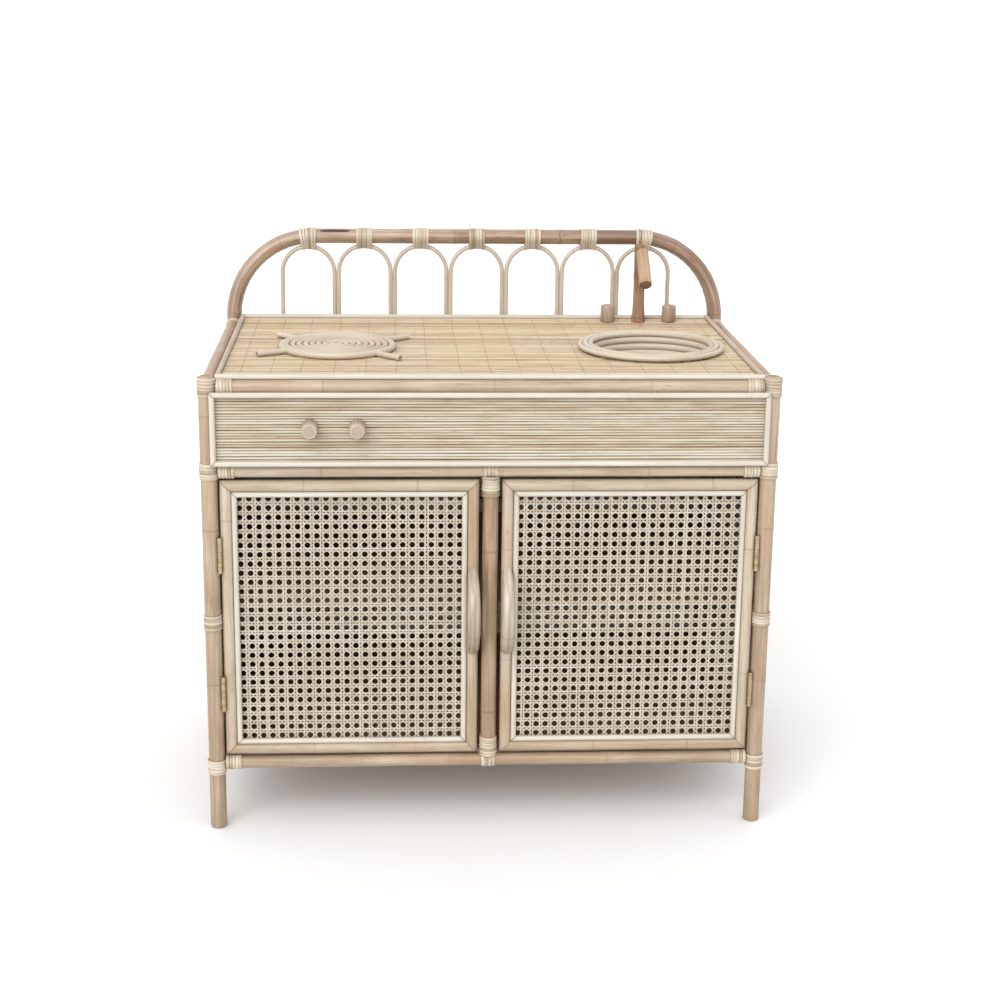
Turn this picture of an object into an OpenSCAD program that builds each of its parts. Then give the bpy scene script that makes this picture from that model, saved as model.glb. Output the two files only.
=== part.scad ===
// Rattan toy kitchen: a cane-door cupboard of wrapped poles with a hob, a sink and an arched splashback.
// Millimetres, +Z up, front towards -Y. Inside the modules Y is 0 at the front posts' axes; the drawing is
// then moved so that the origin is on the floor, under the middle of the whole object.

/* [Cabinet] */
// Distance between the left and right posts' axes
post_span = 600; // [580:5:640]
// Distance between the front and rear posts' axes
post_depth = 380; // [360:5:420]
// Height of the counter rails' axes
counter_rail_z = 501; // [495:1:510]
// Height of the axis of the rail between the control panel and the doors
middle_rail_z = 410; // [400:1:415]
// Height of the axes of the rails that carry the shelf
shelf_rail_z = 243; // [225:1:265]
// Height of the bottom rails' axes
bottom_rail_z = 77; // [70:1:95]
// Height of the axis of the rear hoop's top
hoop_top_z = 610; // [605:1:625]

/* [Poles] */
// Radius of the posts and of the rear hoop
post_r = 9; // [9:0.5:10]
// Radius of the counter, side and rear rails
rail_r = 8; // [7.5:0.5:8.5]
// Radius of the middle and bottom front rails
slim_rail_r = 7; // [6.5:0.5:7.5]
// Radius of the post between the doors
centre_post_r = 8.5; // [8:0.5:9]
// Thickness of the cane bindings
wrap_t = 1.2; // [1:0.1:1.3]

/* [Doors] */
// Radius of the door frame's poles
stile_r = 6.5; // [6:0.25:7]
// Gap between a door and the post that it hangs on
hinge_gap = 1.6; // [1.6:0.1:2]
// Gap between a door and the centre post
latch_gap = 3.7; // [3:0.1:5]
// Height of the doors' bottom edge
door_z0 = 87; // [87:1:90]
// Height of the doors' top edge
door_z1 = 400; // [396:1:400]
// Radius of the bead round the cane
bead_r = 3; // [2.5:0.25:3]
// Radius of the bent handle
handle_r = 7.5; // [5.5:0.25:8]
// How far the handle's axis stands out from the stile
handle_reach = 31; // [28:1:36]
// Length of a hinge
hinge_h = 40; // [38:1:45]

/* [Hob, sink and tap] */
// Radius of the hob's coil
hob_r = 66; // [60:1:70]
// Radius of the sink rim's axis
sink_rim_r = 79; // [76:1:82]
// Depth of the sink's bowl under the counter
sink_depth = 64; // [50:1:75]
// Radius of the hob knobs
hob_knob_r = 9; // [7:0.5:9]
// Radius of the tap knobs
tap_knob_r = 8.8; // [8:0.2:9.6]

/* [Hidden] */
$fn = 64;
half_span = post_span / 2;
eps = 0.1;
mitre_gap = 0.1;

foot_chamfer = 3;
post_top_z = counter_rail_z + rail_r + 4;
board_top_z = counter_rail_z + rail_r;
hoop_bend_r = hoop_top_z - board_top_z - 1;
wrap_r = post_r + wrap_t;
centre_post_end = slim_rail_r / 2;
rail_wrap_r = rail_r + wrap_t;

board_t = 5.5;
mat_t = 2;
mat_top_z = board_top_z + mat_t;
counter_trim_r = 3;
counter_board_x = half_span - rail_wrap_r - eps;
side_trim_x = half_span - 11.5;
rear_trim_y = post_depth - 12.5;
mat_x = side_trim_x - counter_trim_r - eps;
mat_y0 = counter_trim_r + eps;
mat_y1 = rear_trim_y - counter_trim_r - eps;

fascia_trim_r = 3.5;
fascia_trim_x = half_span - 6.2;
fascia_trim_y = -12.6;
fascia_trim_z = [middle_rail_z + 10.5, counter_rail_z - 6.5];
fascia_mat_t = 3.2;
fascia_mat_y = fascia_trim_y + fascia_trim_r;
fascia_board_t = 3;
fascia_board_y = fascia_mat_y + fascia_mat_t;

panel_t = 5;
panel_margin = rail_wrap_r + eps;
panel_trim_r = 2.3;
shelf_t = 5;
shelf_front_y = 16;
floor_front_y = centre_post_r + wrap_t + 0.6;

hob_pos = [-167, 161];
hob_t = 7.5;
hob_stick_r = 3.25;
hob_stick_reach = 100;
hob_stick_angles = [36, 135, 209, 315];
sink_pos = [190, 160];
sink_rim_rod_r = 4.5;
sink_hole_r = sink_rim_r - 5.5;
sink_wall = 7;
sink_lip_r = sink_rim_r - sink_rim_rod_r - eps;
sink_base_r = sink_rim_r - 17;

tap_x = 199;
tap_y = 343;
tap_riser_r = 7.1;
tap_riser_top_z = hoop_top_z - 4;
tap_spout_r = 7.8;
tap_spout_len = 56;
tap_spout_tilt = 39;
tap_spout_shift = 2;
tap_knob_spacing = 38;
tap_knob_h = 20;

knob_gap = 0.4;
hob_knob_h = 22;
hob_knob_spacing = 50;
hob_knob_z = (fascia_trim_z[0] + fascia_trim_z[1]) / 2 + 2.5;
spindle_r = 1.5;
spindle_head_r = 3;
spindle_head_t = 1;
spindle_fit = 0.05;
spindle_in_knob = 15;

arch_count = 7;
arch_pitch = 69.2;
arch_half_w = 31.9;
arch_rod_r = 2.5;
arch_top_z = hoop_top_z - post_r - arch_rod_r - 0.2;
arch_wrap_w = 20;
end_arch_drop = 1.2;

hinge_x = half_span - post_r - hinge_gap / 2;
hinge_y = -7;
hinge_centre_z = [160, 318];
knuckle_r = 2.5;
knuckle_gap = 0.15;
knuckles = 5;
knuckle_h = hinge_h / knuckles;
hinge_pin_r = 1.2;
hinge_pin_fit = 0.05;
leaf_t = 0.7;
leaf_gap = 0.05;
leaf_front_y = hinge_y + knuckle_r + 0.3;
leaf_back_y = 5;
leaf_screw_r = 1.2;
leaf_screw_head_r = 2.2;
leaf_screw_len = 8;
leaf_screw_y = 1;
screw_hole_fit = 0.05;
leaf_screw_z = 13;

hinge_stile_x = half_span - post_r - hinge_gap - stile_r;
latch_stile_x = centre_post_r + latch_gap + stile_r;
bead_inset = 9.1;
bead_y = -bead_r;
cane_t = 1;
cane_inset = stile_r + 0.05;
handle_half_h = 43.5;
handle_z = 254;
handle_arc_r = (handle_half_h * handle_half_h + handle_reach * handle_reach) / (2 * handle_reach);
handle_arc_y = -stile_r - handle_reach + handle_arc_r;

catch_z = 369;
catch_h = 14;
catch_half_w = 26;
magnet_r = 4;
magnet_y = stile_r + 1.3;
catch_y = magnet_y + 0.9;
strike_t = 1;
strike_w = 10;

front_y = -stile_r - handle_reach - handle_r;
back_y = post_depth + wrap_r;
origin_y = (front_y + back_y) / 2;

// ---- Shapes that repeat ----

module pole_x(x0, x1, y, z, r) {
    translate([x0, y, z]) rotate([0, 90, 0]) cylinder(r = r, h = x1 - x0);
}

module pole_y(x, y0, y1, z, r) {
    translate([x, y0, z]) rotate([-90, 0, 0]) cylinder(r = r, h = y1 - y0);
}

module pole_z(x, y, z0, z1, r) {
    translate([x, y, z0]) cylinder(r = r, h = z1 - z0);
}

// A block between two opposite corners
module block(low, high) {
    translate(low) cube(high - low);
}

// Draws its children on the right, and mirrored on the left
module both_sides() {
    children();
    mirror([1, 0, 0]) children();
}

// A leg of radius post_r with a chamfered foot
module leg(x, y, top_z) {
    translate([x, y, 0]) cylinder(r1 = post_r - foot_chamfer, r2 = post_r, h = foot_chamfer);
    pole_z(x, y, foot_chamfer, top_z, post_r);
}

// The four posts as plain cylinders, for cutting what meets them
module post_cutters(r = post_r) {
    both_sides() for (y = [0, post_depth]) pole_z(half_span, y, -1, post_top_z + 1, r);
}

module front_rail_cutters() {
    pole_x(-half_span, half_span, 0, counter_rail_z, rail_r);
    for (z = [middle_rail_z, bottom_rail_z]) pole_x(-half_span, half_span, 0, z, slim_rail_r);
}

module rear_rail_cutters() {
    for (z = [bottom_rail_z, shelf_rail_z, counter_rail_z])
        pole_x(-half_span, half_span, post_depth, z, rail_r);
}

// A cane sleeve along X, Y or Z round a pole of radius r
module sleeve_x(x0, x1, y, z, r) {
    difference() {
        pole_x(x0, x1, y, z, r + wrap_t);
        pole_x(x0 - 1, x1 + 1, y, z, r);
    }
}

module sleeve_y(x, y0, y1, z, r) {
    difference() {
        pole_y(x, y0, y1, z, r + wrap_t);
        pole_y(x, y0 - 1, y1 + 1, z, r);
    }
}

module sleeve_z(x, y, z0, z1, r) {
    difference() {
        pole_z(x, y, z0, z1, r + wrap_t);
        pole_z(x, y, z0 - 1, z1 + 1, r);
    }
}

// ---- Frame ----

module front_post() {
    color("burlywood") difference() {
        leg(half_span, 0, post_top_z);
        leaf_screw_holes(true);
    }
}

// Both rear legs and the arched top, bent from one pole
module rear_hoop() {
    color("peru") {
        both_sides() {
            leg(half_span, post_depth, hoop_top_z - hoop_bend_r);
            translate([half_span - hoop_bend_r, post_depth, hoop_top_z - hoop_bend_r])
                rotate([90, 0, 0]) rotate_extrude(angle = 90) translate([hoop_bend_r, 0]) circle(r = post_r);
        }
        pole_x(hoop_bend_r - half_span, half_span - hoop_bend_r, post_depth, hoop_top_z, post_r);
    }
}

module front_rail(z, r) {
    color("burlywood") difference() {
        pole_x(-half_span, half_span, 0, z, r);
        post_cutters();
    }
}

module centre_post() {
    color("burlywood") difference() {
        pole_z(0, 0, bottom_rail_z + centre_post_end, middle_rail_z - centre_post_end, centre_post_r);
        front_rail_cutters();
    }
}

module side_rails(side) {
    color("burlywood") for (z = [bottom_rail_z, shelf_rail_z, counter_rail_z]) difference() {
        pole_y(side * half_span, 0, post_depth, z, rail_r);
        post_cutters();
        front_rail_cutters();
        rear_rail_cutters();
    }
}

module rear_rails() {
    color("burlywood") for (z = [bottom_rail_z, shelf_rail_z, counter_rail_z]) difference() {
        pole_x(-half_span, half_span, post_depth, z, rail_r);
        post_cutters();
    }
}

// ---- Counter ----

module spindle_holes(r) {
    for (side = [-1, 1]) {
        pole_z(tap_x + side * tap_knob_spacing, tap_y, board_top_z - board_t - 1, mat_top_z + 1, r);
        pole_y(hob_pos[0] + side * hob_knob_spacing / 2, fascia_mat_y - 1, 0, hob_knob_z, r);
    }
}

module sink_hole() {
    pole_z(sink_pos[0], sink_pos[1], board_top_z - board_t - 1, mat_top_z + 1, sink_hole_r);
}

module counter_board() {
    color("wheat") difference() {
        block([-counter_board_x, rail_wrap_r + eps, board_top_z - board_t],
              [counter_board_x, post_depth - rail_wrap_r - eps, board_top_z]);
        sink_hole();
        spindle_holes(spindle_r + spindle_fit);
    }
}

module counter_mat() {
    color("khaki") difference() {
        block([-mat_x, mat_y0, board_top_z], [mat_x, mat_y1, mat_top_z]);
        sink_hole();
        spindle_holes(spindle_r + spindle_fit);
    }
}

module counter_trims() {
    z = board_top_z + counter_trim_r;
    front_end = half_span - post_r - 0.2;
    color("ivory") {
        pole_x(-front_end, front_end, 0, z, counter_trim_r);
        both_sides() pole_y(side_trim_x, mat_y0, rear_trim_y + counter_trim_r, z, counter_trim_r);
        pole_x(-mat_x, mat_x, rear_trim_y, z, counter_trim_r);
    }
}

// ---- Control panel ----

module fascia_mat() {
    edge = half_span - 8.4;
    color("wheat") difference() {
        block([-edge, fascia_mat_y, fascia_trim_z[0] - 3], [edge, fascia_board_y, fascia_trim_z[1] - 1.5]);
        spindle_holes(spindle_r + spindle_fit);
    }
}

module fascia_board() {
    edge = half_span - 9.8;
    color("tan") difference() {
        block([-edge, fascia_board_y, fascia_trim_z[0] - 2.5],
              [edge, fascia_board_y + fascia_board_t, fascia_trim_z[1] - 2.5]);
        spindle_holes(spindle_r + spindle_fit);
    }
}

// Keeps the part of a frame's horizontal pieces between mitres that run in at 45 degrees
module mitre_x(x0, x1, z_edge, inward, depth) {
    translate([0, 500, 0]) rotate([90, 0, 0]) linear_extrude(1000)
        polygon([[x0, z_edge], [x1, z_edge], [x1 - depth, z_edge + inward * depth],
                 [x0 + depth, z_edge + inward * depth]]);
}

// Keeps the part of a frame's upright pieces between mitres that run in at 45 degrees, less a hairline
module mitre_z(z0, z1, x_edge, inward, depth) {
    x_in = x_edge + inward * depth;
    translate([0, 500, 0]) rotate([90, 0, 0]) linear_extrude(1000)
        polygon([[x_edge, z0 + mitre_gap], [x_edge, z1 - mitre_gap],
                 [x_in, z1 - depth - mitre_gap], [x_in, z0 + depth + mitre_gap]]);
}

// The top and bottom rods of a mitred frame whose rods' axes are x0, x1, z0 and z1
module frame_rails(x0, x1, z0, z1, y, r) {
    for (top = [false, true]) intersection() {
        pole_x(x0 - r, x1 + r, y, top ? z1 : z0, r);
        mitre_x(x0 - r, x1 + r, top ? z1 + r : z0 - r, top ? -1 : 1, 2 * r);
    }
}

// One upright rod of the same frame, at x0 or at x1
module frame_stile(x0, x1, z0, z1, y, r, at_x1) {
    intersection() {
        pole_z(at_x1 ? x1 : x0, y, z0 - r, z1 + r, r);
        mitre_z(z0 - r, z1 + r, at_x1 ? x1 + r : x0 - r, at_x1 ? -1 : 1, 2 * r);
    }
}

module fascia_trims() {
    x = fascia_trim_x;
    z = fascia_trim_z;
    color("ivory") {
        frame_rails(-x, x, z[0], z[1], fascia_trim_y, fascia_trim_r);
        for (right = [false, true]) frame_stile(-x, x, z[0], z[1], fascia_trim_y, fascia_trim_r, right);
    }
}

// ---- Side and rear panels, shelf and floor ----

// Low and high edges of the lower and of the upper panels
panel_z = [[bottom_rail_z + panel_margin, shelf_rail_z - panel_margin],
           [shelf_rail_z + panel_margin, counter_rail_z - panel_margin]];
panel_y = [wrap_r + 0.3, post_depth - wrap_r - 0.3];
rear_panel_x = half_span - wrap_r - 0.3;

module side_panels(side) {
    color("wheat") for (z = panel_z)
        translate([side * half_span - panel_t / 2, panel_y[0], z[0]])
            cube([panel_t, panel_y[1] - panel_y[0], z[1] - z[0]]);
}

module rear_panels() {
    color("wheat") for (z = panel_z)
        block([-rear_panel_x, post_depth - panel_t / 2, z[0]], [rear_panel_x, post_depth + panel_t / 2, z[1]]);
}

// Thin rods round the outer face of every side and rear panel
module panel_trims() {
    r = panel_trim_r;
    x = half_span + panel_t / 2 + r;
    y = post_depth + panel_t / 2 + r;
    color("ivory") for (z = panel_z) {
        both_sides() {
            for (edge_z = [z[0] + r, z[1] - r]) pole_y(x, panel_y[0], panel_y[1], edge_z, r);
            for (edge_y = [panel_y[0] + r, panel_y[1] - r]) pole_z(x, edge_y, z[0] + 2 * r, z[1] - 2 * r, r);
            pole_z(rear_panel_x - r, y, z[0] + 2 * r, z[1] - 2 * r, r);
        }
        for (edge_z = [z[0] + r, z[1] - r]) pole_x(-rear_panel_x, rear_panel_x, y, edge_z, r);
    }
}

// A board that lies on the rails at rail_z and is notched round the posts
module lying_board(rail_z, y0) {
    z = rail_z + rail_wrap_r + eps;
    x = half_span - panel_t / 2 - 0.5;
    color("tan") difference() {
        block([-x, y0, z], [x, post_depth - panel_t / 2 - 0.5, z + shelf_t]);
        post_cutters(wrap_r + 0.2);
    }
}

// ---- Splashback ----

function arch_x(k) = (k - (arch_count - 1) / 2) * arch_pitch;

// The end arches stand a little lower, because the hoop has begun to bend there
function arch_spring_z(k) = arch_top_z - arch_half_w - (k % (arch_count - 1) == 0 ? end_arch_drop : 0);

module arch_rod(k, r) {
    spring_z = arch_spring_z(k);
    translate([arch_x(k), post_depth, spring_z]) rotate([90, 0, 0])
        rotate_extrude(angle = 180) translate([arch_half_w, 0]) circle(r = r);
    for (side = [-1, 1]) pole_z(arch_x(k) + side * arch_half_w, post_depth, counter_rail_z, spring_z, r);
}

module splashback_arches() {
    color("wheat") for (k = [0 : arch_count - 1]) difference() {
        arch_rod(k, arch_rod_r);
        pole_x(-half_span, half_span, post_depth, counter_rail_z, rail_r);
    }
}

// The sleeve of the right-hand end arch, which follows the hoop's bend
module end_arch_sleeve() {
    bend_x = half_span - hoop_bend_r;
    low = asin((arch_x(arch_count - 1) + arch_wrap_w / 2 - bend_x) / hoop_bend_r);
    high = max(0, asin((arch_x(arch_count - 1) - arch_wrap_w / 2 - bend_x) / hoop_bend_r));
    translate([bend_x, post_depth, hoop_top_z - hoop_bend_r]) rotate([90, 0, 0]) rotate([0, 0, 90 - low])
        rotate_extrude(angle = low - high) translate([hoop_bend_r, 0]) difference() {
            circle(r = wrap_r);
            circle(r = post_r);
        }
}

module arch_bindings() {
    color("cornsilk") {
        for (k = [1 : arch_count - 2]) difference() {
            sleeve_x(arch_x(k) - arch_wrap_w / 2, arch_x(k) + arch_wrap_w / 2, post_depth, hoop_top_z, post_r);
            arch_rod(k, arch_rod_r);
        }
        both_sides() difference() {
            end_arch_sleeve();
            arch_rod(arch_count - 1, arch_rod_r);
        }
    }
}

// ---- Cane bindings at the joints ----

rail_wrap_x = [half_span - wrap_r - 17, half_span - wrap_r - 0.3];
front_side_wrap_y = [wrap_r + 0.3, wrap_r + 15];
rear_side_wrap_y = [post_depth - wrap_r - 15, post_depth - wrap_r - 0.3];
centre_wrap_h = 20;

// One sleeve round the right-hand post at y, with square notches where the rails come in: a rail of
// radius rx along X and one of radius ry along Y, which runs towards +Y or -Y as toward says
module post_sleeve(y, z0, z1, rail_z, rx, ry, toward) {
    notch = 3;
    reach = 20;
    difference() {
        sleeve_z(half_span, y, z0, z1, post_r);
        if (rx > 0)
            block([half_span - reach, y - rx - eps, rail_z - rx - eps],
                  [half_span - notch, y + rx + eps, rail_z + rx + eps]);
        if (ry > 0)
            block([half_span - ry - eps, toward > 0 ? y + notch : y - reach, rail_z - ry - eps],
                  [half_span + ry + eps, toward > 0 ? y + reach : y - notch, rail_z + ry + eps]);
    }
}

// The half of a sleeve round a slim front rail that the centre post's end doesn't cover
module centre_saddle(rail_z, post_below) {
    half_w = centre_post_r - 0.5;
    edge = rail_z + (post_below ? -1 : 1) * (centre_post_end - eps);
    difference() {
        sleeve_x(-half_w, half_w, 0, rail_z, slim_rail_r);
        block([-20, -20, post_below ? edge - 20 : edge], [20, 20, post_below ? edge : edge + 20]);
    }
}

module front_bindings() {
    color("cornsilk") {
        both_sides() {
            post_sleeve(0, bottom_rail_z - 13, bottom_rail_z + 4, bottom_rail_z, slim_rail_r, rail_r, 1);
            post_sleeve(0, shelf_rail_z - 10, shelf_rail_z + 6, shelf_rail_z, 0, rail_r, 1);
            post_sleeve(0, middle_rail_z - 9, middle_rail_z + 9, middle_rail_z, slim_rail_r, 0, 1);
            post_sleeve(0, counter_rail_z - 9.5, counter_rail_z + 7, counter_rail_z, rail_r, rail_r, 1);
            for (z = [bottom_rail_z, middle_rail_z])
                sleeve_x(rail_wrap_x[0], rail_wrap_x[1], 0, z, slim_rail_r);
            difference() {
                sleeve_x(rail_wrap_x[0], rail_wrap_x[1], 0, counter_rail_z, rail_r);
                block([0, -20, board_top_z - 0.5], [half_span, 20, board_top_z + 20]);
            }
        }
        centre_saddle(middle_rail_z, true);
        centre_saddle(bottom_rail_z, false);
        for (z = [bottom_rail_z + slim_rail_r + wrap_t + eps,
                  middle_rail_z - slim_rail_r - wrap_t - eps - centre_wrap_h])
            sleeve_z(0, 0, z, z + centre_wrap_h, centre_post_r);
    }
}

module side_bindings() {
    color("cornsilk") both_sides() for (z = [bottom_rail_z, shelf_rail_z, counter_rail_z])
        for (y = [front_side_wrap_y, rear_side_wrap_y]) sleeve_y(half_span, y[0], y[1], z, rail_r);
}

module rear_bindings() {
    color("cornsilk") both_sides() for (z = [bottom_rail_z, shelf_rail_z, counter_rail_z]) {
        post_sleeve(post_depth, z - 10, z + (z == counter_rail_z ? 2 : 6), z, rail_r, rail_r, -1);
        sleeve_x(rail_wrap_x[0], rail_wrap_x[1], post_depth, z, rail_r);
    }
}

// ---- Hob ----

module hob_coil() {
    c = 1.5;
    color("cornsilk") translate([hob_pos[0], hob_pos[1], mat_top_z]) rotate_extrude()
        polygon([[0, 0], [hob_r - c, 0], [hob_r, c], [hob_r, hob_t - c], [hob_r - c, hob_t], [0, hob_t]]);
}

module hob_sticks() {
    color("cornsilk") for (a = hob_stick_angles)
        translate([hob_pos[0], hob_pos[1], mat_top_z + hob_stick_r]) rotate([0, 90, a])
            translate([0, 0, hob_r + eps]) cylinder(r = hob_stick_r, h = hob_stick_reach - hob_r);
}

// ---- Sink ----

module sink_rim() {
    color("cornsilk") translate([sink_pos[0], sink_pos[1], mat_top_z + sink_rim_rod_r])
        rotate_extrude() translate([sink_rim_r, 0]) circle(r = sink_rim_rod_r);
}

module sink_bowl() {
    top = mat_top_z + 6;
    base = board_top_z - sink_depth;
    out = sink_hole_r - 0.3;
    color("wheat") translate([sink_pos[0], sink_pos[1], 0]) rotate_extrude()
        polygon([[0, base], [sink_base_r, base], [out, board_top_z - 8], [out, mat_top_z + eps],
                 [sink_lip_r, mat_top_z + eps], [sink_lip_r, top], [out - sink_wall, top],
                 [out - sink_wall, board_top_z - 8], [sink_base_r - sink_wall, base + sink_wall],
                 [0, base + sink_wall]]);
}

// ---- Tap ----

module tap_riser() {
    color("peru") pole_z(tap_x, tap_y, mat_top_z, tap_riser_top_z, tap_riser_r);
}

module tap_spout() {
    color("peru") difference() {
        translate([tap_x + tap_spout_shift, tap_y, tap_riser_top_z - tap_spout_r]) rotate([90 + tap_spout_tilt, 0, 0])
            cylinder(r = tap_spout_r, h = tap_spout_len);
        pole_z(tap_x, tap_y, mat_top_z, tap_riser_top_z + 20, tap_riser_r);
        block([tap_x - 30, tap_y, mat_top_z], [tap_x + 30, tap_y + 30, tap_riser_top_z + 30]);
    }
}

// ---- Knobs ----

module hob_knob(side) {
    color("tan") difference() {
        pole_y(hob_pos[0] + side * hob_knob_spacing / 2, fascia_mat_y - knob_gap - hob_knob_h,
               fascia_mat_y - knob_gap, hob_knob_z, hob_knob_r);
        pole_y(hob_pos[0] + side * hob_knob_spacing / 2, fascia_mat_y - knob_gap - spindle_in_knob - 1,
               fascia_mat_y, hob_knob_z, spindle_r + spindle_fit);
    }
}

module tap_knob(side) {
    z0 = mat_top_z + knob_gap;
    color("tan") difference() {
        pole_z(tap_x + side * tap_knob_spacing, tap_y, z0, z0 + tap_knob_h, tap_knob_r);
        pole_z(tap_x + side * tap_knob_spacing, tap_y, z0 - 1, z0 + spindle_in_knob + 1, spindle_r + spindle_fit);
    }
}

// The four steel spindles that the knobs turn on, each with its head under or behind the board
module knob_spindles() {
    back = fascia_board_y + fascia_board_t;
    under = board_top_z - board_t;
    color("silver") for (side = [-1, 1]) {
        x = hob_pos[0] + side * hob_knob_spacing / 2;
        pole_y(x, fascia_mat_y - knob_gap - spindle_in_knob, back, hob_knob_z, spindle_r);
        pole_y(x, back, back + spindle_head_t, hob_knob_z, spindle_head_r);
        tx = tap_x + side * tap_knob_spacing;
        pole_z(tx, tap_y, under, mat_top_z + knob_gap + spindle_in_knob, spindle_r);
        pole_z(tx, tap_y, under - spindle_head_t, under, spindle_head_r);
    }
}

// ---- Hinges: drawn on the right, and mirrored for the left ----

// One leaf with its knuckles; the post's leaf has the outer and middle ones, and the door's has the others
module leaf(z, on_post) {
    x0 = on_post ? hinge_x + leaf_gap : hinge_x - leaf_gap - leaf_t;
    z0 = z - hinge_h / 2;
    difference() {
        union() {
            block([x0, leaf_front_y, z0], [x0 + leaf_t, leaf_back_y, z0 + hinge_h]);
            for (k = [on_post ? 0 : 1 : 2 : knuckles - 1]) {
                k0 = z0 + k * knuckle_h + knuckle_gap;
                k1 = z0 + (k + 1) * knuckle_h - knuckle_gap;
                pole_z(hinge_x, hinge_y, k0, k1, knuckle_r);
                block([x0, hinge_y, k0], [x0 + leaf_t, leaf_front_y + 1, k1]);
            }
        }
        pole_z(hinge_x, hinge_y, z0 - 1, z0 + hinge_h + 1, hinge_pin_r + hinge_pin_fit);
        for (dz = [-leaf_screw_z, leaf_screw_z]) leaf_screw(z + dz, on_post);
    }
}

// Puts its children on a leaf's face, pointing outwards into the post, or inwards into the door
module at_leaf_screw(z, on_post) {
    face = on_post ? hinge_x + leaf_gap : hinge_x - leaf_gap;
    translate([face, leaf_screw_y, z]) rotate([0, on_post ? 90 : -90, 0]) children();
}

// A countersunk screw with its head flush in the leaf
module leaf_screw(z, on_post) {
    at_leaf_screw(z, on_post) {
        cylinder(r1 = leaf_screw_head_r, r2 = leaf_screw_r, h = leaf_t);
        cylinder(r = leaf_screw_r, h = leaf_screw_len);
    }
}

// The holes that the screws need in a post, or in a door's stile
module leaf_screw_holes(on_post) {
    for (z = hinge_centre_z) for (dz = [-leaf_screw_z, leaf_screw_z])
        at_leaf_screw(z + dz, on_post) cylinder(r = leaf_screw_r + screw_hole_fit, h = leaf_screw_len + 0.5);
}

module hinge_post_leaves() {
    color("gold") both_sides() for (z = hinge_centre_z) leaf(z, true);
}

module hinge_post_screws() {
    color("gold") both_sides() for (z = hinge_centre_z) for (dz = [-leaf_screw_z, leaf_screw_z])
        leaf_screw(z + dz, true);
}

module hinge_pins() {
    color("gold") both_sides() for (z = hinge_centre_z)
        pole_z(hinge_x, hinge_y, z - hinge_h / 2, z + hinge_h / 2, hinge_pin_r);
}

// The door's two leaves, with their screws
module door_leaves() {
    color("gold") for (z = hinge_centre_z) {
        leaf(z, false);
        for (dz = [-leaf_screw_z, leaf_screw_z]) leaf_screw(z + dz, false);
    }
}

// ---- Doors: drawn on the right, and mirrored for the left ----

door_axis_z = [door_z0 + stile_r, door_z1 - stile_r];

module door_rails() {
    color("burlywood") frame_rails(latch_stile_x, hinge_stile_x, door_axis_z[0], door_axis_z[1], 0, stile_r);
}

module door_stile(hinge_side) {
    color("burlywood") difference() {
        frame_stile(latch_stile_x, hinge_stile_x, door_axis_z[0], door_axis_z[1], 0, stile_r, hinge_side);
        if (hinge_side) leaf_screw_holes(false);
    }
}

module door_bead() {
    x = [latch_stile_x + bead_inset, hinge_stile_x - bead_inset];
    z = [door_axis_z[0] + bead_inset, door_axis_z[1] - bead_inset];
    color("ivory") {
        frame_rails(x[0], x[1], z[0], z[1], bead_y, bead_r);
        for (at_hinge = [false, true]) frame_stile(x[0], x[1], z[0], z[1], bead_y, bead_r, at_hinge);
    }
}

module door_cane() {
    color("antiquewhite") block([latch_stile_x + cane_inset, eps, door_axis_z[0] + cane_inset],
                                [hinge_stile_x - cane_inset, eps + cane_t, door_axis_z[1] - cane_inset]);
}

// A rod bent to an arc, with both ends coped to the latch stile
module door_handle() {
    color("wheat") difference() {
        intersection() {
            translate([latch_stile_x, handle_arc_y, handle_z]) rotate([90, 0, -90])
                rotate_extrude() translate([handle_arc_r, 0]) circle(r = handle_r);
            block([latch_stile_x - 20, -100, handle_z - 100], [latch_stile_x + 20, 2 - stile_r, handle_z + 100]);
        }
        pole_z(latch_stile_x, 0, door_z0, door_z1, stile_r);
    }
}

module door_strike() {
    color("silver") block([latch_stile_x - strike_w / 2, stile_r, catch_z - catch_h / 2],
                          [latch_stile_x + strike_w / 2, stile_r + strike_t, catch_z + catch_h / 2]);
}

// ---- Magnetic catch on the back of the centre post ----

module door_catch() {
    color("saddlebrown") block([-catch_half_w, catch_y, catch_z - catch_h / 2],
                               [catch_half_w, catch_y + 8, catch_z + catch_h / 2]);
}

module catch_magnets() {
    color("dimgray") both_sides() pole_y(latch_stile_x, magnet_y, catch_y, catch_z, magnet_r);
}

module on_left() {
    mirror([1, 0, 0]) children();
}

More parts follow.
